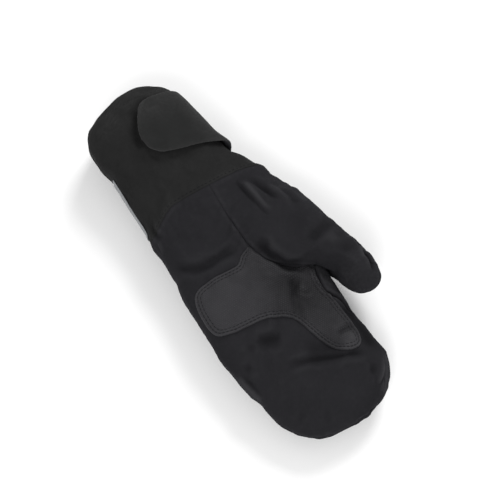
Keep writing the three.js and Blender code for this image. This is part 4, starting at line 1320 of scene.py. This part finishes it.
c = panels["cuff"]
hem = 1.5 * (1 - ramp(MOUTH + 9.6, MOUTH + 16, np.repeat(CUFF_Y, CUFF_COLUMNS)))
bulge = (np.repeat(CUFF_Y, CUFF_COLUMNS) < -160).astype(float)
verts, faces, slots, cloth, _ = closed(c["P"], c["F"], c["N"], WALL + hem, c["cloth"], bulge=bulge, segments=6)
wear_and_painted_light = np.zeros(len(verts))
mouth_wear = np.exp(-((np.repeat(CUFF_Y, CUFF_COLUMNS) + 172.6) / 2.2) ** 2) * 0.6
# painted light: the cuff paler towards its mouth
painted_mouth_light = 0.85 * ramp(-122, -158, np.repeat(CUFF_Y, CUFF_COLUMNS)) * np.clip(0.8 + 0.5 * noise(c["P"], (11, 11, 11), 33), 0, 1)
wear_and_painted_light[: len(c["P"])] = np.clip(worn(c) + mouth_wear + painted_mouth_light, 0, 1)
wear_and_painted_light[2 * len(c["P"]) :] = 0.5
# painted shade in the cuff's creases, and a painted shadow beside the strap's free end
made["cuff"] = make("cuff_cloth", verts, faces, slots, cloth, [CUFF_CLOTH, LINING], c["ring"], {"wear_and_painted_light": wear_and_painted_light, "painted_shading": padded(c["painted_shading"] + 0.36 * spot(c["P"], 24.5, -143, 4.5, 9), len(verts))})


# ------------------------------------------------------------------ palm patch
def patch_outline():
    pts = np.array(PATCH_OUTLINE, float)
    n = len(pts)
    out = []
    for t in np.linspace(0, n - 1, 700):
        i = min(int(t), n - 2)
        w = t - i
        a, b, c_, d = pts[max(i - 1, 0)], pts[i], pts[i + 1], pts[min(i + 2, n - 1)]
        v0, v1 = (c_ - a) / 2, (d - b) / 2
        out.append((2 * b - 2 * c_ + v0 + v1) * w**3 + (-3 * b + 3 * c_ - 2 * v0 - v1) * w**2 + v0 * w + b)
    sewn = [(float(JOIN["palm"](min(y, 42.2))) + 1.1 + 0.35 * max(0, y - 42.2), y) for y in steps(44, 9, 1.0)]
    return resample(np.array(out + sewn), 0.62, True), resample(np.array(out), 0.62), np.array(sewn)


def resample(line, step, ring=False):
    line = np.asarray(line, float)
    if ring:
        line = np.vstack([line, line[:1]])
    arc = np.concatenate([[0], np.cumsum(np.linalg.norm(np.diff(line, axis=0), axis=1))])
    s = np.linspace(0, arc[-1], int(round(arc[-1] / step)) + 1)
    if ring:
        s = s[:-1]
    return np.stack([np.interp(s, arc, line[:, i]) for i in range(line.shape[1])], 1)


def inset(line, by, step=0.8):
    t = np.roll(line, -1, 0) - np.roll(line, 1, 0)
    n = np.stack([-t[:, 1], t[:, 0]], 1)
    n /= np.linalg.norm(n, axis=1, keepdims=True)
    q = line + n * by
    x, y = line[:, 0], line[:, 1]
    if (x * np.roll(y, -1) - np.roll(x, -1) * y).sum() < 0:
        q = line - n * by
    q = q[distance_2d(q, line) > by - 0.03]
    return resample(q, step, True)


def inside_2d(q, line):
    a, b = line, np.roll(line, -1, 0)
    hit = np.zeros(len(q), bool)
    for (x0, y0), (x1, y1) in zip(a, b):
        if y0 == y1:
            continue
        cross = (y0 > q[:, 1]) != (y1 > q[:, 1])
        hit ^= cross & (q[:, 0] < (x1 - x0) * (q[:, 1] - y0) / (y1 - y0) + x0)
    return hit


outline, free_edge, sewn_edge = patch_outline()
rings = [outline] + [inset(outline, by) for by in (0.35, 0.8, 1.4, 2.1, 2.8, 3.6, 4.6, 5.6)]
lo, hi = outline.min(0), outline.max(0)
pitch = 1.35
grid = np.array([
    (lo[0] + (i + 0.5 * (j % 2)) * pitch, lo[1] + j * pitch * 0.866)
    for j in range(int((hi[1] - lo[1]) / (pitch * 0.866)) + 1)
    for i in range(int((hi[0] - lo[0]) / pitch) + 1)
])
grid = grid[inside_2d(grid, outline)]
grid = grid[distance_2d(grid, outline) > 6.3]
flat_points = np.vstack(rings + [grid])
count = len(outline)
constraint = [(i, (i + 1) % count) for i in range(count)]
cdt = delaunay_2d_cdt([Vector(q) for q in flat_points], constraint, [], 1, 1e-5)
flat_points = np.array([tuple(v) for v in cdt[0]])
patch_faces = np.array([list(f) for f in cdt[2]])

palm = panels["palm_panel"]
palm_tree = BVHTree.FromPolygons([Vector(v) for v in palm["P"]], palm["F"].tolist())
palm_kd = tree_of(palm["P"])


def on_palm(q):
    """Point and smooth normal of the palm under each plan point."""
    P, N = [], []
    for x, y in q:
        hit = palm_tree.ray_cast(Vector((x, y, 200.0)), Vector((0, 0, -1)))
        if hit[0] is None:
            _, at, _ = palm_kd.find((x, y, 35))
            P.append(palm["P"][at])
            N.append(palm["N"][at])
            continue
        p = np.array(hit[0])
        near = palm_kd.find_n(p, 4)
        w = np.array([1 / (d + 0.2) for _, _, d in near])
        P.append(p)
        N.append(unit((palm["N"][[i for _, i, _ in near]] * w[:, None]).sum(0)))
    return np.array(P), np.array(N)


base, base_n = on_palm(flat_points)
edge = distance_2d(flat_points, outline)
# rounded edge, a raised border and two sewn channels along the free edge, a soft belly
# between them; along the thumb the edge goes flat into the seam
free = distance_2d(flat_points, free_edge, False)
sewn = distance_2d(flat_points, sewn_edge, False)
open_ = ramp(1.0, 5.0, sewn)
profile = PATCH_THICK * np.sqrt(np.clip(1 - (1 - np.clip(edge / 0.75, 0, 1)) ** 2, 0, 1)) * mix(0.55, 1.0, ramp(0.5, 5.5, sewn))
profile += open_ * (
    0.36 * np.exp(-(((free - 1.15) / 0.62) ** 2))
    - 0.55 * np.exp(-(((free - 2.35) / 0.62) ** 2))
    - 0.50 * np.exp(-(((free - 4.6) / 0.65) ** 2))
    + 0.16 * np.exp(-(((free - 3.45) / 0.6) ** 2))
    + 0.12 * np.exp(-(((free - 1.2) / 1.5) ** 2)) * noise(base, (2.2, 2.2, 2.2), 43)
)
profile += 0.35 * ramp(4.8, 13, edge)
profile += 0.22 * ramp(5, 9, edge) * noise(base, (6, 6, 6), 41) + 0.10 * ramp(5, 8, edge) * noise(base, (2.8, 2.8, 2.8), 42)
top = base + base_n * (PATCH_GAP + profile)[:, None]
patch_n = base_n
if np.cross(top[patch_faces[0][1]] - top[patch_faces[0][0]], top[patch_faces[0][2]] - top[patch_faces[0][0]]) @ patch_n[patch_faces[0][0]] < 0:
    patch_faces = patch_faces[:, ::-1]
verts, faces, slots, cloth, _ = closed(top, patch_faces, patch_n, profile + 0.02, flat_points)
wear_and_painted_light = np.zeros(len(verts))
wear_and_painted_light[: len(top)] = np.clip(open_ * (0.35 * np.exp(-(((free - 0.7) / 0.6) ** 2)) + 0.12 * np.exp(-(((free - 3.45) / 0.8) ** 2))), 0, 1)
patch_painted_shading = np.zeros(len(base))
relief(base, base_n, patch_painted_shading)
# painted light on the print: a painted shadow of the thumb darkens its side, a painted highlight
# # lightens the lobe's end, painted shade lies round the pit and at four spots, and the rest of the tone varies at
# random
px, py = flat_points[:, 0], flat_points[:, 1]
thumb_shadow = 1 - ramp(-16, 44, px)
tone_with_painted_light = 1 - thumb_shadow * (1 - 0.16 - 0.26 * ramp(72, 92, py) - 0.45 * ramp(106, 115, py))
tone_with_painted_light -= 0.20 * ramp(18, -6, px) * ramp(90, 66, py)
tone_with_painted_light -= 0.38 * np.exp(-(((px + 7) / 8.5) ** 2) - (((py - 56) / 15) ** 2))
for x_, y_, wide_, tall_, less_ in ((4, 49, 10, 12, 0.13), (-4, 70, 11, 9, 0.11), (-22, 97, 9, 8, 0.13), (26, 38, 13, 13, 0.07)):
    tone_with_painted_light -= less_ * np.exp(-(((px - x_) / wide_) ** 2) - ((py - y_) / tall_) ** 2)
tone_with_painted_light += 0.10 * noise(base, (11, 11, 11), 44) + 0.07 * noise(base, (4.5, 4.5, 4.5), 45)
# painted shade in the patch's creases and at a spot near the pit
made["palm_patch"] = make("palm_patch_leather", verts, faces, slots, cloth, [GRIP, LINING], None, {"wear_and_painted_light": wear_and_painted_light, "painted_shading": padded(patch_painted_shading + 0.35 * np.exp(-(((px + 8) / 8) ** 2) - ((py - 71) / 6) ** 2), len(verts)), "tone_and_shade": np.maximum(padded(tone_with_painted_light, len(verts)), 0)})

patch_tree = BVHTree.FromPolygons([Vector(v) for v in top], patch_faces.tolist())


def on_patch(q, lift):
    P, N = on_palm(q)
    out = []
    for (x, y), p, n in zip(q, P, N):
        hit = patch_tree.ray_cast(Vector(p + n * 12), Vector(-n))
        out.append(np.array(hit[0]) + n * lift if hit[0] is not None else p + n * (PATCH_THICK + lift))
    return np.array(out), N


rows = []
for by in (2.35, 4.6):
    q = inset(outline, by, 0.7)
    on = distance_2d(q, sewn_edge, False) > by + 0.6
    start = np.where(on & ~np.roll(on, 1))[0][0]
    q = np.roll(q, -start, 0)[np.roll(on, -start)]
    P, N = on_patch(q, 0.08)
    rows.append((P, N, False))
made["patch_stitches"] = threads("palm_patch_stitches", rows, THREAD, long=2.4, gap=0.95, radius=0.29, lift=0.10)


# ------------------------------------------------------------------ strap
STRAP_ANGLES = np.concatenate([steps(264, 205, 1.4), steps(204, 96, 1.05), steps(95.4, 79.5, 0.42)])


def strap_skin():
    a = STRAP_ANGLES
    near, far = STRAP["near"](a), STRAP["far"](a)
    share = fractions(62, 1.3, (0, 0.25, 0.6, 1.05, 1.6, 2.4, 3.3))
    y = near[:, None] + (far - near)[:, None] * share[None, :]
    angle = np.radians(np.broadcast_to(a[:, None], y.shape))
    return cuff(angle, y), angle, y


sp, s_angle, s_y = strap_skin()
rows_n, cols_n = sp.shape[:2]
S = sp.reshape(-1, 3)
SF = quads(rows_n, cols_n)
SN = normals_of(S, SF)
out = S - np.array([20, 0, 28.0])
out[:, 1] = 0
if (SN * out).sum() < 0:
    SF, SN = SF[:, ::-1], -SN
ids = np.arange(rows_n * cols_n).reshape(rows_n, cols_n)
loop = np.concatenate([ids[:, 0], ids[-1, 1:], ids[::-1, -1][1:], ids[0, ::-1][1:-1]])
s_edge, _ = nearest(tree_of(resample(S[loop], 0.3, True)), S)
deg = np.degrees(s_angle).ravel()
gap = STRAP["gap"](deg)
# the edge towards the fingers stands off where the strap comes round the thumb side,
# and the free end curls up a little
near_edge = np.repeat(np.linalg.norm(sp - sp[:, :1], axis=2)[:, :, None], 1, 2).ravel()
lift = 3.4 * np.exp(-(((deg - 158) / 24) ** 2)) * np.exp(-((near_edge / 11) ** 2))
lift += 2.4 * np.exp(-((s_edge / 10) ** 2)) * ramp(122, 82, deg)
swell = 0.35 * noise(S, (26, 26, 26), 51) + 0.12 * noise(S, (9, 9, 9), 52)
relief_below = 0.6 * relief(S, SN)
thick = STRAP_THICK * np.sqrt(np.clip(1 - (1 - np.clip(s_edge / 0.9, 0, 1)) ** 2, 0.04, 1))
lower = np.maximum(gap * 0.75, 0.15) + lift + (swell + relief_below) * ramp(0, 3, gap)
strap_top = S + SN * (lower + STRAP_THICK / 2 + thick / 2)[:, None]
strap_top[:, 2] = np.maximum(strap_top[:, 2], 0.1 + thick * (SN[:, 2] > -0.3))
cloth_s = np.stack([np.repeat(np.concatenate([[0], np.cumsum(np.linalg.norm(np.diff(sp[:, cols_n // 2], axis=0), axis=1))]), cols_n), s_y.ravel()], 1)
flat["strap"] = flat_area(S, SF)
new_n = normals_of(S + SN * lift[:, None], SF)
verts, faces, slots, cloth, _ = closed(strap_top, SF, new_n, thick, cloth_s, bulge=0.6, segments=4)
n = len(S)
verts[:, 2] = np.maximum(verts[:, 2], 0.1)
wear_and_painted_light = np.zeros(len(verts))
# wear along the strap's edge; painted light on its mouth end and on its side between 118 and 200 degrees
wear_and_painted_light[:n] = 0.3 * np.exp(-(((s_edge - 1.4) / 1.1) ** 2)) + np.maximum(0.9 * ramp(-118, -146, S[:, 1]), 0.8 * ramp(118, 150, deg) * ramp(200, 175, deg)) * np.clip(0.8 + 0.4 * noise(S, (9, 9, 9), 53), 0, 1)
cut = np.zeros(len(verts))
cut[:n] = 0.6 * np.exp(-((s_edge / 0.5) ** 2))
cut[2 * n :] = 0.9
made["closure_strap"] = make("closure_strap_cloth", verts, faces, slots, cloth, [STRAP_CLOTH, LINING], None, {"wear_and_painted_light": wear_and_painted_light, "cut": cut})


# ------------------------------------------------------------------ hook pad and strip
def plate(name, a0, a1, y0, y1, gap, thick, corner, material, step=1.0):
    """A thin plate that follows the cuff between two angles and two heights, corners rounded."""
    mid = cuff(np.radians(np.linspace(a0, a1, 60)), np.full(60, (y0 + y1) / 2))
    wide = np.linalg.norm(np.diff(mid, axis=0), axis=1).sum()
    tall = abs(y1 - y0)
    cols, rows_ = max(6, int(wide / step)), max(6, int(tall / step))
    u = np.concatenate([[0, 0.3 / wide, 0.8 / wide], np.linspace(1.6 / wide, 1 - 1.6 / wide, cols), [1 - 0.8 / wide, 1 - 0.3 / wide, 1]])
    v = np.concatenate([[0, 0.3 / tall, 0.8 / tall], np.linspace(1.6 / tall, 1 - 1.6 / tall, rows_), [1 - 0.8 / tall, 1 - 0.3 / tall, 1]])
    U, V = np.meshgrid(u * wide, v * tall)
    # square lattice pressed into a rounded rectangle
    x, y = U - wide / 2, V - tall / 2
    hx, hy = wide / 2, tall / 2
    over = np.maximum(np.abs(x) / hx, np.abs(y) / hy)
    ax, ay = np.abs(x), np.abs(y)
    cx, cy = hx - corner, hy - corner
    far = (ax > cx) & (ay > cy)
    r = np.hypot(ax - cx, ay - cy)
    big = np.maximum(ax - cx, ay - cy)
    k = np.where(far & (r > 1e-6), big / np.maximum(r, 1e-6), 1.0)
    x = np.where(far, np.sign(x) * (cx + (ax - cx) * k), x)
    y = np.where(far, np.sign(y) * (cy + (ay - cy) * k), y)
    angle = np.radians(mix(a0, a1, x / wide + 0.5))
    yy = mix(y0, y1, y / tall + 0.5)
    P = cuff(angle, yy)
    shape = P.shape[:2]
    P = P.reshape(-1, 3)
    F = quads(*shape)
    N = normals_of(P, F)
    out = P - np.array([20, 0, 28.0])
    out[:, 1] = 0
    if (N * out).sum() < 0:
        F, N = F[:, ::-1], -N
    raised = relief(P, N)
    ids = np.arange(len(P)).reshape(shape)
    ring = np.concatenate([ids[0], ids[1:, -1], ids[-1, ::-1][1:], ids[::-1, 0][1:-1]])
    e, _ = nearest(tree_of(resample(P[ring], 0.3, True)), P)
    t = thick * np.sqrt(np.clip(1 - (1 - np.clip(e / 0.5, 0, 1)) ** 2, 0.06, 1))
    top = P + N * (raised + gap + thick / 2 + t / 2)[:, None]
    verts, faces, slots, cloth, _ = closed(top, F, N, t, np.stack([x.ravel(), y.ravel()], 1), bulge=0.6, segments=3)
    return make(name, verts, faces, None, cloth, [material])


made["strap_hook_pad"] = plate("strap_hook_tape", 118, 90, -103, -139, 0.3, 1.3, 3.0, HOOKS)
made["reflective_strip"] = plate("reflective_strip_tape", -13, 6, -65, -111, STRIPE_GAP, STRIPE_THICK, 1.0, SILVER, 0.8)


# ------------------------------------------------------------------ stitching and tapes
def along_cuff(y_value):
    """Points and normals on the cuff's outer skin at this height, all round."""
    row = int(np.argmin(np.abs(CUFF_Y - y_value)))
    i = c["ids"][row]
    return c["P"][i], c["N"][i]


P, N = along_cuff(-60.6)
made["wrist_stitches"] = threads("wrist_seam_stitches", [(P, N, True)], WRIST_THREAD, long=2.6, gap=1.1, radius=0.23, lift=0.10)
P, N = along_cuff(-158.6)
made["hem_stitches"] = threads("hem_stitches", [(P, N, True)], HEM_THREAD, long=2.9, gap=0.9, radius=0.22, lift=0.08)


hand_parts = [panels[k] for k in ("palm_panel", "back_panel", "thumb_front_panel", "thumb_back_panel")]
inner_points = np.concatenate([p["P"] - p["N"] * WALL for p in hand_parts] + [c["P"] - c["N"] * (WALL + hem[:, None])])
inner_normals = np.concatenate([p["N"] for p in hand_parts] + [c["N"]])
inner_kd = tree_of(inner_points)


def seam_tape(name, line, wide=9.0, thick=0.35, ring=False, rows=9):
    """A film bonded over a seam inside the mitt, pressed onto the lining on both sides."""
    line = resample(smooth_open(line, ring), 1.6, ring)
    _, at = nearest(inner_kd, line)
    n = -inner_normals[at]
    for _ in range(6):
        n = unit(n + 0.5 * (np.roll(n, 1, 0) + np.roll(n, -1, 0)) if ring else n + 0.5 * (np.vstack([n[:1], n[:-1]]) + np.vstack([n[1:], n[-1:]])))
    t = np.roll(line, -1, 0) - np.roll(line, 1, 0)
    if not ring:
        t[0], t[-1] = line[1] - line[0], line[-1] - line[-2]
    b = unit(np.cross(unit(t), n))
    share = np.linspace(-1, 1, rows)
    P = line[:, None, :] + b[:, None, :] * share[None, :, None] * wide / 2
    shape = P.shape[:2]
    P = P.reshape(-1, 3)
    # lay it on the lining: the nearest inner point's tangent plane, then a little proud
    _, at = nearest(inner_kd, P)
    q, m = inner_points[at], inner_normals[at]
    P = P - m * ((P - q) * m).sum(1)[:, None] - m * (0.12 + thick)
    # smooth across the seam's own groove
    G = P.reshape(shape[0], shape[1], 3)
    for _ in range(8):
        H = G.copy()
        H[:, 1:-1] += 0.5 * (G[:, :-2] + G[:, 2:] - 2 * G[:, 1:-1])
        if ring:
            H += 0.25 * (np.roll(G, 1, 0) + np.roll(G, -1, 0) - 2 * G)
        else:
            H[1:-1] += 0.25 * (G[:-2] + G[2:] - 2 * G[1:-1])
        G = mix(G, H, 0.6)
    P = G.reshape(-1, 3)
    F = quads(shape[0], shape[1])
    if ring:
        i = np.arange(shape[1] - 1)
        last = (shape[0] - 1) * shape[1]
        F = np.vstack([F, np.stack([last + i, last + i + 1, i + 1, i], 1)])
    N = normals_of(P, F)
    if (N * -m).sum() < 0:
        F, N = F[:, ::-1], -N
    verts, faces, slots, cloth, _ = closed(P, F, N, thick, np.stack([P[:, 0], P[:, 1]], 1))
    return make(name, verts, faces, None, cloth, [TAPE])


def smooth_open(line, ring):
    line = np.asarray(line, float)
    for _ in range(4):
        if ring:
            line = (line * 2 + np.roll(line, 1, 0) + np.roll(line, -1, 0)) / 4
        else:
            line[1:-1] = (line[1:-1] * 2 + line[:-2] + line[2:]) / 4
    return line


inner = {k: p["P"] - p["N"] * (WALL + 0.3) for k, p in panels.items()}
wrist_line = inner["cuff"][c["ids"][0]]
palm_edges = panels["palm_panel"]["edges"]
made["wrist_tape"] = seam_tape("seam_tape_wrist", wrist_line, ring=True)
left = inner["palm_panel"][palm_edges[1]]
made["thumb_tape"] = seam_tape("seam_tape_thumb", left[(left[:, 1] > -54) & (left[:, 1] < 40)], wide=8)
right = inner["palm_panel"][palm_edges[2]]
made["side_tape"] = seam_tape("seam_tape_little_finger", right[(right[:, 1] > -38) & (right[:, 1] < 150)], wide=8)


# ------------------------------------------------------------------ frame
OWN = {
    "palm_panel": ["palm_panel"], "back_panel": ["back_panel"],
    "thumb_front_panel": ["thumb_front_panel"], "thumb_back_panel": ["thumb_back_panel"],
    "cuff": ["cuff"], "closure_strap": ["closure_strap"], "strap_hook_pad": ["strap_hook_pad"],
    "palm_patch": ["palm_patch"], "reflective_strip": ["reflective_strip"],
}
for key, ob in made.items():
    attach(ob, "root")
    if key in OWN:
        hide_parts(*OWN[key])

# the flat area of each cloth piece in square metres
flat["closure_strap"] = flat["strap"]
flat["palm_patch"] = flat_area(top, patch_faces)


# ------------------------------------------------------------------ light, floor, camera
def emission_floor(name):
    """Pale seamless floor of matt paper, lit a little from behind."""
    m = bpy.data.materials.new(name)
    m.use_nodes = True
    t = m.node_tree
    shader = t.nodes["Principled BSDF"]
    noise_ = t.nodes.new("ShaderNodeTexNoise")
    noise_.inputs["Scale"].default_value = 3.0
    ramp_ = t.nodes.new("ShaderNodeMapRange")
    ramp_.inputs["To Min"].default_value = 0.86
    ramp_.inputs["To Max"].default_value = 0.9
    t.links.new(noise_.outputs["Fac"], ramp_.inputs["Value"])
    t.links.new(ramp_.outputs[0], shader.inputs["Base Color"])
    shader.inputs["Roughness"].default_value = 0.9
    shader.inputs["Specular IOR Level"].default_value = 0.1
    shader.inputs["Emission Color"].default_value = (1, 1, 1, 1)
    shader.inputs["Emission Strength"].default_value = 0.10
    return m


floor_mesh = bpy.data.meshes.new("floor")
size = 12.0
floor_mesh.from_pydata([(-size, -size, 0), (size, -size, 0), (size, size, 0), (-size, size, 0)], [], [(0, 1, 2, 3)])
floor = bpy.data.objects.new("floor", floor_mesh)
floor_mesh.materials.append(emission_floor("floor_paper"))
bpy.context.scene.collection.objects.link(floor)


def area_light(name, where, to, wide, tall, power_, colour=(1, 1, 1)):
    data = bpy.data.lights.new(name, "AREA")
    data.shape, data.size, data.size_y = "RECTANGLE", wide, tall
    data.energy, data.color = power_, colour
    ob = bpy.data.objects.new(name, data)
    ob.location = where
    ob.rotation_mode = "QUATERNION"
    ob.rotation_quaternion = (Vector(to) - Vector(where)).to_track_quat("-Z", "Y")
    bpy.context.scene.collection.objects.link(ob)
    return ob


area_light("key", (-1.10, -0.80, 1.15), (0, 0, 0.02), 0.7, 0.7, 20)
area_light("fill", (0.85, 1.00, 1.10), (0, 0, 0.02), 0.9, 0.9, 16)
world = bpy.data.worlds.new("studio")
world.use_nodes = True
world.node_tree.nodes["Background"].inputs[0].default_value = (1, 1, 1, 1)
world.node_tree.nodes["Background"].inputs[1].default_value = 0.54
bpy.context.scene.world = world
scene = bpy.context.scene
scene.view_settings.view_transform = "Standard"
scene.view_settings.look = "None"
scene.view_settings.exposure = 0.0
scene.view_settings.gamma = 1.0

target = Vector((0.0039199, 0.0032518, 0.025))
lens = bpy.data.cameras.new("camera")
lens.lens, lens.sensor_width = 100, 36
camera = bpy.data.objects.new("camera", lens)
a, e = math.radians(148.6), math.radians(65.0)
right = Vector((math.cos(a), math.sin(a), 0))
back = Vector((math.sin(a) * math.cos(e), -math.cos(a) * math.cos(e), math.sin(e)))
up = back.cross(right)
camera.location = target + back * 1.140
camera.rotation_mode = "QUATERNION"
camera.rotation_quaternion = Matrix((right, up, back)).transposed().to_quaternion()
lens.clip_start, lens.clip_end = 0.05, 50
scene.collection.objects.link(camera)
scene.camera = camera

bpy.context.view_layer.update()
